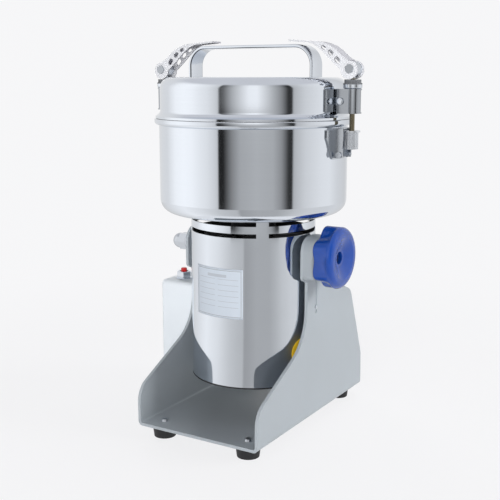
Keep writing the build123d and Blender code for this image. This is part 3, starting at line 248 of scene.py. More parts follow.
class Num:
    """A number on its way through a node tree; arithmetic on it adds Math nodes."""

    def __init__(self, look, socket):
        self.look = look
        self.socket = socket

    def math(self, operation, first, second=0.0):
        """Result of a Math node."""
        node = self.look.node("ShaderNodeMath", {"operation": operation}, {0: first, 1: second})
        return Num(self.look, node.outputs[0])

    def __add__(self, other):
        return self.math("ADD", self, other)

    def __radd__(self, other):
        return self.math("ADD", other, self)

    def __sub__(self, other):
        return self.math("SUBTRACT", self, other)

    def __rsub__(self, other):
        return self.math("SUBTRACT", other, self)

    def __mul__(self, other):
        return self.math("MULTIPLY", self, other)

    def __rmul__(self, other):
        return self.math("MULTIPLY", other, self)

    def __truediv__(self, other):
        return self.math("DIVIDE", self, other)

    def __rtruediv__(self, other):
        return self.math("DIVIDE", other, self)

    def __gt__(self, other):
        return self.math("GREATER_THAN", self, other)

    def __lt__(self, other):
        return self.math("LESS_THAN", self, other)

    def hypot(self, other):
        """Root of the sum of both squares."""
        return self.math("SQRT", self * self + other * other)

    def size(self):
        """Distance from nought."""
        return self.math("ABSOLUTE", self)

    def wrapped(self):
        """Part past the last whole number."""
        return self.math("FRACT", self)

    def eased(self, low, high):
        """Smooth step from nought at low to one at high."""
        node = self.look.node("ShaderNodeMapRange", {"interpolation_type": "SMOOTHSTEP"},
                              {"Value": self, "From Min": low, "From Max": high})
        return Num(self.look, node.outputs[0])


def set_stops(elements, stops):
    """Lay grey stops (place, level) along a ramp."""
    while len(elements) < len(stops):
        elements.new(1.0)
    for element, (place, level) in zip(elements, stops):
        element.position = place
        element.color = (level, level, level, 1.0)


class Look:
    """A material, or the surroundings, under construction."""

    def __init__(self, name, store=bpy.data.materials):
        self.material = store.new(name)
        self.material.use_nodes = True
        self.tree = self.material.node_tree
        self.tree.nodes.clear()

    def node(self, kind, settings=None, inputs=None):
        """Add a node: its settings first, then its sockets by name or number."""
        node = self.tree.nodes.new(kind)
        for key, value in (settings or {}).items():
            if key == "stops":
                set_stops(node.color_ramp.elements, value)
            else:
                setattr(node, key, value)
        for key, value in (inputs or {}).items():
            if isinstance(value, Num):
                self.tree.links.new(value.socket, node.inputs[key])
            elif isinstance(value, bpy.types.NodeSocket):
                self.tree.links.new(value, node.inputs[key])
            else:
                node.inputs[key].default_value = value
        return node

    def coordinates(self, kind="Object"):
        """Object coordinates or Normal, which stay with the piece when it moves, or its UV."""
        return self.node("ShaderNodeTexCoord").outputs[kind]

    def parts(self, kind="Object"):
        """The three parts of those coordinates as numbers."""
        split = self.node("ShaderNodeSeparateXYZ", None, {0: self.coordinates(kind)})
        return tuple(Num(self, split.outputs[k]) for k in range(3))

    def noise(self, scale, detail=3.0, stretch=(1.0, 1.0, 1.0), vector=None):
        """Noise round one half, on object coordinates or another vector, stretched per axis."""
        start = vector or self.coordinates()
        shifted = self.node("ShaderNodeMapping", None, {"Vector": start, "Scale": stretch})
        node = self.node("ShaderNodeTexNoise", None,
                         {"Vector": shifted.outputs[0], "Scale": scale, "Detail": detail})
        return Num(self, node.outputs[0])

    def tint(self, under, over, factor):
        """Colour mixed from under to over, each a colour or a colour socket."""
        ends = [end if isinstance(end, bpy.types.NodeSocket) else (*end, 1.0) for end in (under, over)]
        node = self.node("ShaderNodeMix", {"data_type": "RGBA"}, {0: factor, 6: ends[0], 7: ends[1]})
        return node.outputs[2]

    def rays(self, *kinds):
        """One for rays of the named kinds that have met no dull surface on their way, else nought."""
        path = self.node("ShaderNodeLightPath")
        found = Num(self, path.outputs["Is %s Ray" % kinds[0]])
        for kind in kinds[1:]:
            found = found.math("MAXIMUM", found, Num(self, path.outputs["Is %s Ray" % kind]))
        return found * (Num(self, path.outputs["Diffuse Depth"]) < 0.5)

    def bump(self, height, strength, depth):
        """Normal from a height."""
        node = self.node("ShaderNodeBump", None, {"Height": height, "Strength": strength, "Distance": depth})
        return node.outputs[0]

    def done(self, colour, roughness, metallic=0.0, coat=0.0, normal=None):
        """Close the tree with a Principled surface."""
        sockets = {"Base Color": colour, "Roughness": roughness, "Metallic": metallic, "Coat Weight": coat,
                   "Coat Roughness": 0.08}
        if normal is not None:
            sockets["Normal"] = normal
        surface = self.node("ShaderNodeBsdfPrincipled", None, sockets)
        self.node("ShaderNodeOutputMaterial", None, {"Surface": surface.outputs[0]})
        return self.material

    def mixed(self, factor, under, over, end="ShaderNodeOutputMaterial"):
        """Close the tree with two shaders mixed by a factor."""
        sockets = {0: factor, 1: under.outputs[0], 2: over.outputs[0]}
        mix = self.node("ShaderNodeMixShader", None, sockets)
        self.node(end, None, {"Surface": mix.outputs[0]})
        return self.material


def scaled(colour, factor):
    """Colour times a factor."""
    return tuple(min(1.0, channel * factor) for channel in colour)


def brushed(name, colour, room=None):
    """Steel brushed round the motor axis: noise that is fine along the radius and the height, slow along X.

    Inside a room the steel is satin. The room is a rounded pan, given by the radius and the height at which
    its corner is centred and by the corner's radius.
    """
    lines = 2600.0
    drift = 9.0
    look = Look(name)
    x, y, z = look.parts()
    radius = x.hypot(y - AXIS_Y)
    rings = look.node("ShaderNodeCombineXYZ", None, {0: radius * lines, 1: x * drift, 2: z * lines})
    fine = look.noise(1.0, 2.0, vector=rings.outputs[0])
    cloud = look.noise(14.0, 2.0)
    tone = look.tint(scaled(colour, 0.93), scaled(colour, 1.04), fine * 0.6 + cloud * 0.4)
    roughness = 0.04 + fine * 0.05 + cloud * 0.02
    metallic = 1.0
    if room:
        wall, ground, corner = room
        out = radius.math("MAXIMUM", radius - wall, 0.0)
        down = z.math("MAXIMUM", ground - z, 0.0)
        satin = 1.0 - out.hypot(down).eased(corner - 0.3 * MM, corner + 0.3 * MM)
        roughness = roughness + satin * 0.28
        metallic = 1.0 - satin * 0.55
    return look.done(tone, roughness, metallic, normal=look.bump(fine, 0.05, 0.02 * MM))


def polished(name, colour, rough):
    """Polished metal with a slow waviness and faint wipe marks."""
    look = Look(name)
    slow = look.noise(26.0, 1.0)
    wipe = look.noise(45.0, 3.0)
    tone = look.tint(scaled(colour, 0.97), scaled(colour, 1.02), wipe)
    return look.done(tone, rough + wipe * 0.03, 1.0, normal=look.bump(slow, 0.06, 0.2 * MM))


def drum_look(name, colour, skin):
    """Polished outside of the drum; inside the skin radius the tube is dull and painted near-black as shade.
    """
    look = Look(name)
    x, y, _ = look.parts()
    outside = x.hypot(y - AXIS_Y).eased(skin - 0.3 * MM, skin + 0.3 * MM)
    slow = look.noise(26.0, 1.0)
    wipe = look.noise(45.0, 3.0)
    shine = look.tint(scaled(colour, 0.97), scaled(colour, 1.02), wipe)
    # Inside the skin radius the near-black tone is painted shade, not the steel's own colour.
    tone = look.tint(look.tint((0.01, 0.01, 0.01), (0.03, 0.03, 0.03), wipe), shine, outside)
    roughness = 0.55 - outside * 0.5 + wipe * 0.03
    return look.done(tone, roughness, outside, normal=look.bump(slow, 0.05, 0.2 * MM))


def cast(name, colour, rough, grain=0.12, scale=900.0):
    """Metal with a fine tumbled grain."""
    look = Look(name)
    fine = look.noise(scale, 3.0)
    cloud = look.noise(70.0, 2.0)
    tone = look.tint(scaled(colour, 0.86), scaled(colour, 1.06), fine * 0.4 + cloud * 0.6)
    return look.done(tone, rough - 0.06 + cloud * 0.12, 1.0, normal=look.bump(fine, grain, 0.05 * MM))


def painted(name, colour, rough, grain=0.1, scale=1100.0, coat=0.0, drift=0.05):
    """Paint, plastic or rubber: slow colour drift and a fine orange-peel grain."""
    look = Look(name)
    fine = look.noise(scale, 2.0)
    cloud = look.noise(22.0, 3.0)
    tone = look.tint(scaled(colour, 1.0 - drift), scaled(colour, 1.0 + drift), cloud)
    return look.done(tone, rough - 0.05 + cloud * 0.1, 0.0, coat, look.bump(fine, grain, 0.06 * MM))


def wound(name, colour):
    """Enamelled wire: rows of round strands along the height with a varnish, each strand with a painted
    highlight on its crest and painted shade at its sides.
    """
    look = Look(name)
    z = look.parts()[2]
    strand = ((z * 900.0 + look.noise(40.0) * 1.5).wrapped() - 0.5).size()
    # Painted light: lighter at each strand's crest, painted shade where neighbouring strands meet.
    tone = look.tint(scaled(colour, 1.15), scaled(colour, 0.45), strand * 2.0)
    return look.done(tone, 0.35, 0.6, 0.3, look.bump(1.0 - strand, 0.5, 0.3 * MM))


def stacked(name, colour):
    """Stacked steel sheets: thin dark lines at an even pitch along the height."""
    look = Look(name)
    z = look.parts()[2]
    seam = ((z * 1400.0).wrapped() - 0.5).size()
    tone = look.tint(colour, scaled(colour, 0.5), seam.eased(0.3, 0.5))
    return look.done(tone, 0.4 + look.noise(80.0) * 0.1, 0.9, 0.0, look.bump(seam, 0.3, 0.1 * MM))


def lever_look(name, pale, grey):
    """Satin plating with painted light: side walls facing along Y painted pale as if lit, the web painted
    grey as shade.
    """
    look = Look(name)
    # Painted light: the facing along Y picks the walls for a painted highlight and leaves the web in painted
    # shade.
    wall = look.parts("Normal")[1].size().eased(0.55, 0.9)
    worn = look.noise(120.0, 3.0)
    tone = look.tint(look.tint(scaled(grey, 0.92), grey, worn), pale, wall)
    return look.done(tone, 0.5 + worn * 0.08)


def cup_look(name, steel, dark, line):
    """Bright steel below a height, a dull dark bush above it."""
    look = Look(name)
    upper = look.parts()[2].eased(line - 0.1 * MM, line + 0.1 * MM)
    worn = look.noise(300.0, 2.0)
    tone = look.tint(look.tint(scaled(steel, 0.92), steel, worn), dark, upper)
    return look.done(tone, 0.18 + upper * 0.25 + worn * 0.06, 1.0 - upper)


def rod_look(name, zinc, steel, line):
    """Yellow plating on a rod below a height, plain steel on its eye above it."""
    look = Look(name)
    upper = look.parts()[2].eased(line - 1.0 * MM, line + 1.0 * MM)
    worn = look.noise(260.0, 3.0, (1.0, 1.0, 0.4))
    tone = look.tint(look.tint(scaled(zinc, 0.7), scaled(zinc, 1.2), worn), steel, upper)
    return look.done(tone, 0.22 + worn * 0.1, 1.0)


def strap_look(name, colour, half, centre):
    """Polished strap, given by its half width, whose rounded long edges carry painted shade where they face
    inwards.

    Inwards is the cosine between the surface's direction and the way to the middle of the loop.
    """
    look = Look(name)
    x, y, z = look.parts()
    face_x, _, face_z = look.parts("Normal")
    rise = z - centre
    inward = (face_x * x + face_z * rise) / (x.hypot(rise) * -1.0)
    rim = (y - AXIS_Y).size().eased(half - 1.2 * MM, half - 0.9 * MM)
    edge = rim * inward.eased(0.12, 0.3)
    wipe = look.noise(60.0, 3.0)
    tone = look.tint(scaled(colour, 0.97), scaled(colour, 1.03), wipe)
    # Painted shade: the inward-facing edges are darkened to a fifth of the steel's colour.
    tone = look.tint(tone, scaled(colour, 0.2), edge)
    return look.done(tone, 0.1 + edge * 0.15 + wipe * 0.05, 1.0)


def plate_look(name):
    """White plate with a grey border line and rows of plain ruled lines, from the piece's own UV."""
    look = Look(name)
    u, v, _ = look.parts("UV")
    side = (u - 0.5).size()
    tall = (v - 0.5).size()
    border = ((side > 0.462) + (tall > 0.455)) * ((side < 0.472) * (tall < 0.467))
    rows = ((v * 9.0).wrapped() < 0.075) * (v > 0.16) * (v < 0.8)
    wide = (side < 0.42) * (side > 0.03)
    head = ((v - 0.85).size() < 0.03) * (side < 0.2)
    ink = (border > 0.5) * 0.8 + rows * wide * 0.55 + head * 0.4
    worn = look.noise(90.0, 2.0)
    paper = look.tint((0.58, 0.64, 0.71), (0.63, 0.69, 0.76), worn)
    tone = look.tint(paper, (0.30, 0.31, 0.33), ink)
    return look.done(tone, 0.35 + worn * 0.1)


# Giving materials to the pieces carried over

def wear(material, *nodes):
    """Give a material to every slot of the named nodes."""
    for node in nodes:
        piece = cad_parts[node]
        slots = piece.data.materials
        for place in range(len(slots)):
            slots[place] = material
        if not slots:
            slots.append(material)
        smooth_edges(piece)


def smooth_edges(piece, crease=24.0):
    """Shade the curved runs of a piece smoothly; edges bent more than the crease angle stay sharp."""
    piece.data.polygons.foreach_set("use_smooth", np.ones(len(piece.data.polygons), bool))
    piece.data.set_sharp_from_angle(angle=np.radians(crease))


def dress(piece, material, body, *nodes):
    """Finish a new piece: material, body it moves with and the nodes it stands for."""
    piece.data.materials.append(material)
    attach(piece, body)
    if nodes:
        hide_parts(*nodes)


# Studio cards: the angles at which they start and end, and greys at angles round the set, in degrees

CARD_START = -228.0
CARD_END = 131.9
FLOOR_GREYS = (
    (-228.0, 0.50), (-163.0, 0.80), (-150.0, 0.86), (-122.0, 0.74), (-98.0, 0.56), (-87.0, 0.51),
    (-77.0, 0.48), (-74.0, 0.34), (-54.0, 0.40), (-31.0, 0.40), (-20.0, 0.46), (-8.0, 0.55), (10.0, 0.62),
    (60.0, 0.66), (132.0, 0.50))
SIDE_GREYS = (
    (-228.0, 0.76), (-216.0, 0.66), (-182.0, 0.70), (-163.0, 0.92), (-148.0, 0.96), (-135.0, 0.93),
    (-123.8, 0.84), (-113.4, 0.77), (-102.7, 0.63), (-99.4, 0.55))
BACK_GREYS = (
    (-12.6, 0.46), (-7.5, 0.52), (3.0, 0.64), (14.4, 0.70), (27.0, 0.76), (41.4, 0.78), (58.6, 0.66),
    (85.0, 0.58), (110.0, 0.74), (132.0, 0.76))
WALL_GREYS = (
    *SIDE_GREYS, (-98.8, 0.01), (-92.7, 0.02), (-88.0, 0.12), (-83.3, 0.23), (-73.9, 0.39), (-55.4, 0.44),
    (-36.8, 0.41), (-27.3, 0.28), (-19.0, 0.04), (-13.6, 0.02), *BACK_GREYS)
UPPER_GREYS = (
    *SIDE_GREYS, (-98.4, 0.06), (-92.7, 0.15), (-83.3, 0.42), (-73.9, 0.64), (-64.0, 0.88), (-55.0, 0.90),
    (-46.0, 0.68), (-37.0, 0.46), (-27.3, 0.26), (-19.0, 0.03), (-13.6, 0.04), *BACK_GREYS)


# Studio lamps: name, place, width in metres and power in watts, all aimed at one point

LAMP_AIM = (0.0, 0.0, 0.2)
LAMPS = (
    ("front lamp", (0.55, -1.95, 0.65), 0.8, 27.0),
    ("side lamp", (1.8, 0.7, 1.0), 0.8, 25.0),
    ("back lamp", (-1.6, 1.3, 0.8), 0.8, 16.0),
    ("top lamp", (0.1, 0.4, 2.2), 1.0, 12.0))


# Operators

class GRINDER_OT_stand(bpy.types.Operator):
    """Dress the stand, its feet, the control box and what sits on it."""

    bl_idname = "grinder.stand"
    bl_label = "Stand"

    groove_back: bpy.props.FloatProperty(
        name="Groove back", description="Groove behind the pivot", default=7.6 * MM, unit="LENGTH")
    groove_drop: bpy.props.FloatProperty(
        name="Groove drop", description="Groove's foot below the pivot", default=55.0 * MM, unit="LENGTH")
    rivet_width: bpy.props.FloatProperty(
        name="Rivet width", description="Width of the rivet at the groove's foot", default=4.4 * MM,
        unit="LENGTH")
    rivet_rise: bpy.props.FloatProperty(
        name="Rivet rise", description="Height of that rivet", default=1.0 * MM, unit="LENGTH")

    def execute(self, context):
        colours = context.scene.grinder_colours
        steel = tuple(colours.steel)
        wear(painted("grey powder coat", tuple(colours.coat), 0.42, 0.22, 1300.0, 0.1), "base_bracket")
        # The pad's coat is the stand's coat darkened to nine tenths: painted shade from the knob.
        wear(painted("pad coat painted shade", scaled(colours.coat, 0.9), 0.42, 0.2, 1300.0), "pivot_pad")
        wear(painted("foot rubber", tuple(colours.rubber), 0.6, 0.3, 700.0), "rubber_feet")
        wear(painted("bush plastic", (0.02, 0.02, 0.02), 0.5), "pivot_bushes")
        wear(cast("screw plating", scaled(steel, 0.85), 0.28), "stand_screws")
        wear(painted("white coat", tuple(colours.box), 0.38, 0.18, 1300.0), "control_box")
        wear(painted("breaker plastic", (0.03, 0.03, 0.03), 0.45), "breaker_body")
        wear(polished("breaker chrome", steel, 0.12), "breaker_nut")
        wear(painted("button red", tuple(colours.button), 0.3, 0.05, 900.0, 0.3), "reset_button")
        wear(painted("switch plastic", (0.02, 0.02, 0.022), 0.4), "switch_housing")
        wear(painted("rocker plastic", (0.035, 0.035, 0.037), 0.3, 0.05), "switch_rocker")
        wear(painted("gland plastic", (0.025, 0.025, 0.026), 0.45), "cable_gland")
        dress(self.groove_rivet(), polished("groove rivet steel", steel, 0.12), "stand")
        return {"FINISHED"}

    def groove_rivet(self):
        """Low dome at the foot of the groove on the right wing: a round outline turned about the X axis.

        The radius falls with the cosine and the rise grows with the sine of one quarter turn. The flat back
        is sunk in the wing by a share of the rise.
        """
        sunk = -0.3
        face = span("base_bracket")[1][0]
        pivot = middle("knob_insert")
        share = np.linspace(0.0, TURN / 4.0, 9)[1:]
        radius = np.concatenate([[0.0, 1.0], np.cos(share)]) * self.rivet_width / 2.0
        rise = np.concatenate([[sunk, sunk], np.sin(share)]) * self.rivet_rise
        angle = np.linspace(0.0, TURN, 40, endpoint=False)
        x = np.broadcast_to((face + rise)[:, None], (len(rise), len(angle)))
        y = pivot[1] + self.groove_back + radius[:, None] * np.cos(angle)
        z = pivot[2] - self.groove_drop + radius[:, None] * np.sin(angle)
        return grid_piece("groove_rivet", np.stack([x, y, z], axis=2), False, True)


class GRINDER_OT_motor(bpy.types.Operator):
    """Build the polished drum with its slots, the blank plate and the plain disc; dress what it carries."""

    bl_idname = "grinder.motor"
    bl_label = "Motor drum"

    wall: bpy.props.FloatProperty(
        name="Wall", description="Thickness of the drum", default=1.5 * MM, unit="LENGTH")
    bridge: bpy.props.FloatProperty(
        name="Bridge", description="Width of the metal between slots", default=12.3 * MM, unit="LENGTH")

    def drum(self):
        """Tube as two grids on angle and height, one outside and one inside.

        Cells inside a slot are left out, and a wall quad joins the outer grid to the inner grid along every
        side that an open cell shares with a closed one.
        """
        slot_drops = np.array([18.5, 7.1]) * MM
        slot_tall = 4.2 * MM
        slot_turn = np.radians(6.0)
        bridge_steps = 10
        slot_steps = 62
        low, high = span("motor_housing")
        outer = half_width("motor_housing")
        inner = outer - self.wall
        half = np.arcsin(self.bridge / 2.0 / outer)
        quarter = np.concatenate([
            np.linspace(-half, half, bridge_steps, endpoint=False),
            np.linspace(half, TURN / 4.0 - half, slot_steps, endpoint=False)])
        turns = np.arange(4)[:, None] * TURN / 4.0
        angle = (quarter[None] + TURN / 8.0 - slot_turn + turns).ravel()
        slot_lows = high[2] - slot_drops
        slot_highs = slot_lows + slot_tall
        edges = np.concatenate([[low[2]], slot_lows, slot_highs, [high[2]]])
        height = np.unique(np.concatenate([edges, np.linspace(low[2], slot_lows[0], 40)]).round(7))
        past_bridge = np.arange(len(angle)) % len(quarter) >= bridge_steps
        centre_z = (height[:-1] + height[1:]) / 2.0
        in_slot = ((centre_z[:, None] > slot_lows) & (centre_z[:, None] < slot_highs)).any(axis=1)
        is_open = in_slot[:, None] & past_bridge[None]
        rows, columns = len(height), len(angle)
        index = np.arange(rows * columns).reshape(rows, columns)
        right = np.roll(index, -1, axis=1)
        cell = np.stack([index[:-1], right[:-1], right[1:], index[1:]], axis=-1)
        total = rows * columns
        outside = cell[~is_open]
        inside = outside[:, ::-1] + total
        padded = np.pad(is_open, ((1, 1), (0, 0)), constant_values=True)
        rises = padded[:-1] != padded[1:]
        step = np.where(padded[1:], 1, -1)[rises]
        level_a, level_b = index[rises], right[rises]
        flat = np.stack([level_a, level_b, level_b + total, level_a + total], axis=-1)
        flat = np.where((step > 0)[:, None], flat[:, ::-1], flat)
        before = np.roll(is_open, 1, axis=1)
        sides = before != is_open
        side_a, side_b = index[:-1][sides], index[1:][sides]
        upright = np.stack([side_a, side_b, side_b + total, side_a + total], axis=-1)
        upright = np.where(is_open[sides][:, None], upright, upright[:, ::-1])
        quads = np.concatenate([outside, inside, flat, upright])
        shells = []
        for radius in (outer, inner):
            x = np.broadcast_to(radius * np.cos(angle), (rows, columns))
            y = np.broadcast_to(AXIS_Y + radius * np.sin(angle), (rows, columns))
            z = np.broadcast_to(height[:, None], (rows, columns))
            shells.append(np.stack([x, y, z], axis=2).reshape(-1, 3))
        return make_piece("motor_drum", np.concatenate(shells), quads)

    def patch(self, name, angle, height, uv):
        """Thin sheet on the drum over a grid of angles and heights, thickened outwards by Solidify."""
        radius = half_width("motor_housing") + 0.05 * MM
        points = np.stack([radius * np.cos(angle), AXIS_Y + radius * np.sin(angle), height], axis=2)
        piece = grid_piece(name, points, False, False, uv.reshape(-1, 2))
        shell = piece.modifiers.new("thickness", "SOLIDIFY")
        shell.thickness = 0.15 * MM
        shell.offset = 1.0
        return piece

    def plate(self, sizes):
        """Blank plate: its angle runs evenly with u and its height with v."""
        drop = 49.5 * MM
        start = -119.0
        sweep = 51.0
        u, v = np.meshgrid(np.linspace(0.0, 1.0, 49), np.linspace(0.0, 1.0, 25))
        angle = np.radians(start + sweep * u)
        height = span("motor_housing")[1][2] - drop - sizes.plate_height * (1.0 - v)
        return self.patch("blank_plate", angle, height, np.stack([u, v], axis=2))

    def disc(self):
        """Plain disc: rings round its centre, with their sideways reach laid along the drum's arc."""
        size = 14.3 * MM
        centre = np.radians(-9.3)
        rise = 31.0 * MM
        around, out = np.meshgrid(np.linspace(0.0, TURN, 65), np.linspace(0.0, 1.0, 9))
        side = out * np.cos(around)
        up = out * np.sin(around)
        angle = centre + size * side / half_width("motor_housing")
        height = span("motor_housing")[0][2] + rise + size * up
        return self.patch("plain_disc", angle, height, np.stack([side, up], axis=2))

    def execute(self, context):
        colours = context.scene.grinder_colours
        steel = tuple(colours.steel)
        finish = drum_look("drum polish", steel, half_width("motor_housing") - self.wall / 2.0)
        dress(self.drum(), finish, "motor_unit", "motor_housing")
        dress(self.plate(context.scene.grinder_sizes), plate_look("plate white"), "motor_unit")
        dress(self.disc(), painted("disc yellow", tuple(colours.disc), 0.4, 0.02), "motor_unit")
        wear(painted("cover black", (0.012, 0.012, 0.013), 0.45), "bottom_cover")
        pivot_steel = polished("stud steel", scaled(steel, 0.75), 0.16)
        wear(pivot_steel, "pivot_studs", "pivot_washer", "jam_nut", "cap_nut")
        return {"FINISHED"}


class GRINDER_OT_bowl(bpy.types.Operator):
    """Build the drawn bowl with its rolled bead and dress its catches."""

    bl_idname = "grinder.bowl"
    bl_label = "Bowl"

    bead_out: bpy.props.FloatProperty(
        name="Bead", description="How far the rolled rim stands out", default=4.5 * MM, unit="LENGTH")
    bead_tall: bpy.props.FloatProperty(
        name="Bead height", description="Height of the rolled rim", default=6.8 * MM, unit="LENGTH")

    def drawn(self, sizes, wall, bottom, top):
        """Outline of the bowl: flat foot, round bend, wall, rolled bead, inner wall and the collar's bore.

        The bead is a superellipse: its reach and its height from the middle, each to one power, add up to
        one. The power is high in the upper half, which is square, and two in the lower half, which is round.
        """
        collar = 22.0 * MM
        collar_top = bottom + 9.0 * MM
        bead_top = top + 0.3 * MM
        upper_power = 7.0
        lower_power = 2.0
        bore = half_width("shaft_seal")
        sheet = sizes.sheet
        bend = sizes.bowl_bend
        foot = rounded([(bore, bottom, 0.0), (wall, bottom, bend), (wall, top - self.bead_tall, 0.0)],
                       closed=False, steps=24)
        swing = np.linspace(-1.0, 1.0, 25)[1:]
        power = np.where(swing > 0.0, upper_power, lower_power)
        reach = np.clip(1.0 - np.abs(swing) ** power, 0.0, 1.0) ** (1.0 / power)
        bead_height = bead_top - self.bead_tall * (1.0 - swing) / 2.0
        bead = np.stack([wall + self.bead_out * reach, bead_height], axis=1)
        inner = rounded([
            (wall - sheet, bead_top, 0.0),
            (wall - sheet, bottom + sheet, bend - sheet),
            (collar, bottom + sheet, 2.0 * MM),
            (collar, collar_top, 1.0 * MM),
            (bore, collar_top, 0.0)], closed=False, steps=16)
        return np.concatenate([foot, bead, inner])

    def execute(self, context):
        sizes = context.scene.grinder_sizes
        steel = tuple(context.scene.grinder_colours.steel)
        low, high = span("bowl")
        bend = sizes.bowl_bend
        wall = half_width("bowl") - self.bead_out
        outline = self.drawn(sizes, wall, low[2], high[2])
        bowl = grid_piece("drawn_bowl", turned(outline, sizes.steps), True, True)
        room = (wall - bend, low[2] + bend, bend - sizes.sheet / 2.0)
        dress(bowl, brushed("bowl steel", steel, room), "motor_unit", "bowl")
        wear(painted("seal rubber", (0.02, 0.02, 0.02), 0.5), "shaft_seal")
        wear(polished("catch steel", scaled(steel, 0.7), 0.16), "bowl_catches")
        wear(cast("catch rivet steel", scaled(steel, 0.9), 0.25), "catch_rivets")
        return {"FINISHED"}


class GRINDER_OT_lid(bpy.types.Operator):
    """Build the pressed lid and its strap handle; dress the gasket, lugs and rivets."""

    bl_idname = "grinder.lid"
    bl_label = "Lid and handle"

    flare: bpy.props.FloatProperty(
        name="Flare", description="How far the rim flares past the wall", default=4.7 * MM, unit="LENGTH")
    strap: bpy.props.FloatProperty(
        name="Strap", description="Thickness of the handle strap", default=3.0 * MM, unit="LENGTH")

    def pressed(self, sizes):
        """Outline of the lid: flat top, rounded shoulder, upright wall and a flared rim.

        The flare follows a smooth blend: the radius grows with the square of the share of the drop.
        """
        low, high = span("lid")
        top, bottom = high[2], low[2]
        wall_foot = bottom + 8.0 * MM
        flare_top = bottom + 7.5 * MM
        flare_drop = 5.3 * MM
        lip = 1.2 * MM
        roof = bottom + 1.9 * MM
        soft = 0.5 * MM
        rim = half_width("lid")
        wall = rim - self.flare
        sheet = sizes.lid_sheet
        bend = sizes.lid_bend
        share = np.linspace(0.0, 1.0, 14)[:, None]
        drop = np.concatenate([wall + self.flare * share ** 2.0, flare_top - flare_drop * share], axis=1)
        cover = rounded([(0.0, top, 0.0), (wall, top, bend), (wall, wall_foot, 0.0)], closed=False, steps=24)
        under = rounded([
            (rim, bottom, 0.0),
            (rim - lip, bottom, 0.0),
            (rim - lip, roof, soft),
            (wall - sheet, roof, soft),
            (wall - sheet, top - sheet, bend - sheet),
            (0.0, top - sheet, 0.0)], closed=False, steps=16)
        return np.concatenate([cover, drop, under])

    def strap_piece(self):
        """Flat strap with rounded edges carried along an upright loop with two round corners.

        The section is a rounded rectangle; at each station of the path its thickness lies along the path's
        normal and its width along Y.
        """
        bend = 18.5 * MM
        edge = 1.1 * MM
        low, high = span("lid_handle")
        thick = self.strap / 2.0
        half = half_width("lid_handle") - thick
        foot = low[2]
        top = high[2] - thick
        wide = (high[1] - low[1]) / 2.0
        path = rounded([(-half, foot, 0.0), (-half, top, bend), (half, top, bend), (half, foot, 0.0)],
                       closed=False, steps=28)
        step = np.gradient(path, axis=0)
        step[0] = path[1] - path[0]
        step[-1] = path[-1] - path[-2]
        step /= np.linalg.norm(step, axis=1, keepdims=True)
        across = np.stack([-step[:, 1], step[:, 0]], axis=1)
        section = rounded([(-wide, -thick, edge), (wide, -thick, edge), (wide, thick, edge),
                           (-wide, thick, edge)], steps=6)
        y = AXIS_Y + np.broadcast_to(section[:, 0], (len(path), len(section)))
        x = path[:, 0][:, None] + across[:, 0][:, None] * section[:, 1]
        z = path[:, 1][:, None] + across[:, 1][:, None] * section[:, 1]
        return capped_sweep("strap_handle", np.stack([x, y, z], axis=2))

    def execute(self, context):
        sizes = context.scene.grinder_sizes
        steel = tuple(context.scene.grinder_colours.steel)
        lid = grid_piece("pressed_lid", turned(self.pressed(sizes), sizes.steps), True, True)
        dress(lid, brushed("lid steel", steel), "lid", "lid")
        low, high = span("lid_handle")
        finish = strap_look("handle steel", steel, (high[1] - low[1]) / 2.0, (high[2] + low[2]) / 2.0)
        dress(self.strap_piece(), finish, "lid", "lid_handle")
        wear(painted("gasket silicone", (0.62, 0.62, 0.60), 0.5), "lid_gasket")
        wear(polished("lug steel", scaled(steel, 0.7), 0.14), "latch_lugs")
        wear(polished("rivet steel", steel, 0.12), "lug_rivets", "saddle_pins")
        return {"FINISHED"}


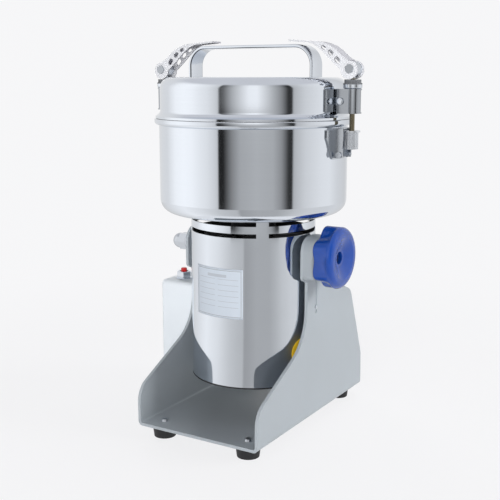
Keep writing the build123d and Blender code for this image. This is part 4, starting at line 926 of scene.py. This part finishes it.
class GRINDER_OT_knob(bpy.types.Operator):
    """Build the lobed clamp knob and dress its insert."""

    bl_idname = "grinder.knob"
    bl_label = "Clamp knob"

    def lobed(self, deepest):
        """Outline (place along X, radius) turned about the knob's axis, with six hollows pressed into it.

        A hollow is as deep as the squared cosine of three times the angle. Along the knob its depth falls
        from the skirt's back to its own end as the root of one minus a power of the share of the way, and it
        fades in with the radius. The dish in the face has no hollows.
        """
        low, high = span("clamp_knob")
        back, face = low[0], high[0]
        skirt = back + 0.9 * MM
        hub = 15.0 * MM
        rim = 31.0 * MM
        hollow_turn = np.radians(2.0)
        hollow_long = 16.5 * MM
        hollow_power = 2.4
        fade_start = 15.5 * MM
        fade = 10.0 * MM
        outline = rounded([
            (back, 5.0 * MM, 0.0),
            (back, hub, 0.3 * MM),
            (skirt, hub, 0.3 * MM),
            (skirt, rim, 3.0 * MM),
            (face, rim, 7.0 * MM),
            (face, 21.0 * MM, 2.0 * MM),
            (face - 5.3 * MM, 8.6 * MM, 3.0 * MM),
            (face - 5.5 * MM, 6.2 * MM, 0.5 * MM),
            (face - 9.0 * MM, 5.6 * MM, 0.0)], closed=False, steps=14)
        dense = np.linspace(0.0, 1.0, 260)
        run = np.concatenate([[0.0], np.cumsum(np.linalg.norm(np.diff(outline, axis=0), axis=1))])
        run /= run[-1]
        along = np.interp(dense, run, outline[:, 0])
        radius = np.interp(dense, run, outline[:, 1])
        angle = np.linspace(0.0, TURN, 300, endpoint=False)
        wave = np.cos((angle - hollow_turn) * 3.0) ** 2
        share = np.clip((along - skirt) / hollow_long, 0.0, 1.0)
        outside = np.arange(len(along)) <= np.argmax(along >= face - 0.01 * MM)
        depth = deepest * np.sqrt(1.0 - share ** hollow_power) * outside
        depth *= np.clip((radius - fade_start) / fade, 0.0, 1.0)
        ring = radius[:, None] - depth[:, None] * wave
        x = np.broadcast_to(along[:, None], ring.shape)
        y = middle("clamp_knob")[1] + ring * np.cos(angle)
        z = middle("knob_insert")[2] + ring * np.sin(angle)
        return grid_piece("lobed_knob", np.stack([x, y, z], axis=2), True, True, crease=50.0)

    def execute(self, context):
        blue = painted("knob blue", tuple(context.scene.grinder_colours.knob), 0.2, 0.03, 500.0, 0.3, 0.08)
        knob = self.lobed(context.scene.grinder_sizes.knob_scallop)
        dress(knob, blue, "clamp_knob", "clamp_knob")
        wear(cast("insert brass", (0.65, 0.48, 0.20), 0.3), "knob_insert")
        return {"FINISHED"}


class GRINDER_OT_latches(bpy.types.Operator):
    """Dress both draw latches."""

    bl_idname = "grinder.latches"
    bl_label = "Latches"

    def execute(self, context):
        colours = context.scene.grinder_colours
        steel = tuple(colours.steel)
        eye_foot = 356.5 * MM
        bush_foot = span("cup_washer_left")[0][2] + 4.0 * MM
        # The pale tone is the levers' painted highlight on the side walls, the grey tone their painted shade
        # on the web.
        bright = lever_look("lever nickel", (0.84, 0.85, 0.88), (0.56, 0.56, 0.60))
        barrel = polished("saddle steel", scaled(steel, 0.55), 0.12)
        pin = cast("lever pin steel", scaled(steel, 0.6), 0.22, 0.5, 300.0)
        rod = rod_look("rod zinc", scaled(colours.zinc, 0.6), scaled(steel, 0.9), eye_foot)
        nut = cast("nut nickel", (0.88, 0.91, 0.96), 0.42)
        cup = cup_look("cup steel and bush", steel, scaled(steel, 0.2), bush_foot)
        for side in ("left", "right"):
            wear(bright, "latch_lever_" + side)
            wear(barrel, "latch_saddle_" + side)
            wear(cup, "cup_washer_" + side)
            wear(rod, "latch_rod_" + side)
            wear(pin, "lever_pin_" + side)
            wear(nut, "latch_nut_" + side)
        return {"FINISHED"}


class GRINDER_OT_inside(bpy.types.Operator):
    """Dress the rotor, the blades and the parts inside the motor."""

    bl_idname = "grinder.inside"
    bl_label = "Inside parts"

    def execute(self, context):
        steel = tuple(context.scene.grinder_colours.steel)
        # The end plates are painted near-black as shade inside the drum, not in their cast aluminium colour.
        wear(cast("end plate painted shade", (0.05, 0.05, 0.055), 0.55), "upper_end_plate", "lower_end_plate")
        wear(polished("bearing steel", scaled(steel, 0.85), 0.15), "upper_bearing", "lower_bearing")
        wear(stacked("core sheets", (0.22, 0.23, 0.25)), "stator_core", "armature_core")
        wear(wound("copper winding", (0.60, 0.22, 0.08)), "field_coils", "armature_winding")
        wear(cast("holder brass", (0.62, 0.46, 0.20), 0.35), "brush_holders")
        wear(painted("brush carbon", (0.02, 0.02, 0.02), 0.6), "carbon_brushes")
        wear(cast("commutator copper", (0.70, 0.32, 0.16), 0.3), "commutator")
        wear(polished("shaft steel", steel, 0.15), "motor_shaft", "blade_spacers", "blade_nut")
        wear(painted("fan plastic", (0.05, 0.05, 0.055), 0.45), "cooling_fan")
        wear(polished("blade steel", steel, 0.16), "lower_blade", "middle_blade", "upper_blade")
        return {"FINISHED"}


class GRINDER_OT_stage(bpy.types.Operator):
    """Set the pale floor, the soft studio light, the grey cards seen in the steel and the camera."""

    bl_idname = "grinder.stage"
    bl_label = "Studio stage"

    pale: bpy.props.FloatVectorProperty(
        name="Background", description="Colour of the background", default=(0.926, 0.926, 0.938),
        size=3, subtype="COLOR")

    def world(self):
        """White surroundings: the background colour to camera, mirror and glass rays, a fill to others."""
        look = Look("studio", bpy.data.worlds)
        fill = look.node("ShaderNodeBackground", None, {"Color": (0.14, 0.14, 0.15, 1.0)})
        pale = look.node("ShaderNodeBackground", None, {"Color": (*self.pale, 1.0)})
        seen = look.rays("Camera", "Glossy", "Transmission")
        bpy.context.scene.world = look.mixed(seen, fill, pale, "ShaderNodeOutputWorld")

    def floor(self):
        """Pale flat floor that keeps a soft shadow: mostly the background colour, partly lit white."""
        look = Look("floor pale")
        seen = look.rays("Camera", "Glossy", "Transmission")
        lit = look.node("ShaderNodeBsdfPrincipled", None,
                        {"Base Color": (*scaled(self.pale, 0.98), 1.0), "Roughness": 0.9})
        glow = look.node("ShaderNodeEmission", None, {"Color": (*self.pale, 1.0), "Strength": 1.0})
        x, y, _ = look.parts()
        far = x.hypot(y).eased(0.3, 0.8)
        side = np.linspace(-6.0, 6.0, 25)
        across, along = np.meshgrid(side, side)
        points = np.stack([across, along, np.zeros_like(across)], axis=2)
        floor = grid_piece("pale_floor", points, False, False)
        floor.data.materials.append(look.mixed(seen * (0.88 + far * 0.12), lit, glow))

    def cards(self):
        """Ring of grey cards seen only by mirror rays: flat on the floor, upright round the set, flat above.

        The grey runs with the angle round the set: one ramp for the floor, one for the lower wall and one
        for the wall above eye level, blended by the height. Towards the top it turns into one plain grey.
        """
        flat = 12
        tall = 14
        far = 1.15
        angle = np.radians(np.linspace(CARD_START, CARD_END, 181))
        reach = np.concatenate([np.linspace(0.2, far, flat), np.full(tall, far),
                                np.linspace(1.1, 0.02, flat)])
        height = np.concatenate([np.full(flat, 0.002), np.linspace(0.03, 1.6, tall), np.full(flat, 1.62)])
        shape = (len(reach), len(angle))
        points = np.stack([reach[:, None] * np.cos(angle), AXIS_Y + reach[:, None] * np.sin(angle),
                           np.broadcast_to(height[:, None], shape)], axis=2)
        u = np.broadcast_to(np.linspace(0.0, 1.0, len(angle)), shape)
        uv = np.stack([u, np.zeros_like(u)], axis=2).reshape(-1, 2)
        ring = grid_piece("grey_cards", points, False, False, uv)
        look = Look("card grey")
        share = look.parts("UV")[0]
        z = look.parts()[2]
        ramps = []
        for stops in (FLOOR_GREYS, WALL_GREYS, UPPER_GREYS):
            placed = [((place - CARD_START) / 360.0, level) for place, level in stops]
            ramps.append(look.node("ShaderNodeValToRGB", {"stops": placed}, {0: share}).outputs[0])
        tone = look.tint(ramps[0], ramps[1], z.eased(0.002, 0.03))
        tone = look.tint(tone, ramps[2], z.eased(0.25, 0.32))
        tone = look.tint(tone, (0.58, 0.58, 0.60), z.eased(0.9, 1.5))
        glow = look.node("ShaderNodeEmission", None, {"Color": tone, "Strength": 1.2})
        clear = look.node("ShaderNodeBsdfTransparent")
        ring.data.materials.append(look.mixed(look.rays("Glossy"), clear, glow))

    def lamp(self, name, place, size, power):
        """Soft square lamp turned to the aim, unseen by mirror rays."""
        data = bpy.data.lights.new(name, "AREA")
        data.shape = "SQUARE"
        data.size = size
        data.energy = power
        lamp = bpy.data.objects.new(name, data)
        lamp.location = place
        lamp.visible_glossy = False
        lamp.rotation_euler = (Vector(LAMP_AIM) - Vector(place)).to_track_quat("-Z", "Y").to_euler()
        bpy.context.scene.collection.objects.link(lamp)

    def camera(self, scene):
        """Camera in front to the right, about as high as the lid, looking slightly down."""
        data = bpy.data.cameras.new("camera")
        data.lens = 64.54
        data.sensor_width = 36.0
        camera = bpy.data.objects.new("camera", data)
        camera.location = (0.4716, -0.7889, 0.3571)
        camera.rotation_euler = (np.radians(79.1), 0.0, np.radians(31.3))
        scene.collection.objects.link(camera)
        scene.camera = camera

    def execute(self, context):
        self.world()
        self.floor()
        self.cards()
        for lamp in LAMPS:
            self.lamp(*lamp)
        self.camera(context.scene)
        context.scene.view_settings.view_transform = "Standard"
        return {"FINISHED"}


class GRINDER_PT_panel(bpy.types.Panel):
    """Sizes, colours and the steps of the build."""

    bl_idname = "GRINDER_PT_panel"
    bl_label = "Spice grinder"
    bl_space_type = "VIEW_3D"
    bl_region_type = "UI"
    bl_category = "Grinder"

    def draw(self, context):
        layout = self.layout
        for group in (context.scene.grinder_sizes, context.scene.grinder_colours):
            for name in group.__annotations__:
                layout.prop(group, name)
        for operator in OPERATORS:
            layout.operator(operator.bl_idname)


OPERATORS = (GRINDER_OT_stand, GRINDER_OT_motor, GRINDER_OT_bowl, GRINDER_OT_lid, GRINDER_OT_knob,
             GRINDER_OT_latches, GRINDER_OT_inside, GRINDER_OT_stage)
CLASSES = (GrinderSizes, GrinderColours, *OPERATORS, GRINDER_PT_panel)


def register():
    """Register the classes and hang the settings on the scene."""
    for item in CLASSES:
        bpy.utils.register_class(item)
    bpy.types.Scene.grinder_sizes = bpy.props.PointerProperty(type=GrinderSizes)
    bpy.types.Scene.grinder_colours = bpy.props.PointerProperty(type=GrinderColours)


def unregister():
    """Take the settings and the classes away again."""
    del bpy.types.Scene.grinder_colours
    del bpy.types.Scene.grinder_sizes
    for item in reversed(CLASSES):
        bpy.utils.unregister_class(item)


def main():
    """Run every step in order."""
    register()
    bpy.ops.grinder.stand()
    bpy.ops.grinder.motor()
    bpy.ops.grinder.bowl()
    bpy.ops.grinder.lid()
    bpy.ops.grinder.knob()
    bpy.ops.grinder.latches()
    bpy.ops.grinder.inside()
    bpy.ops.grinder.stage()


if __name__ == "__main__":
    main()
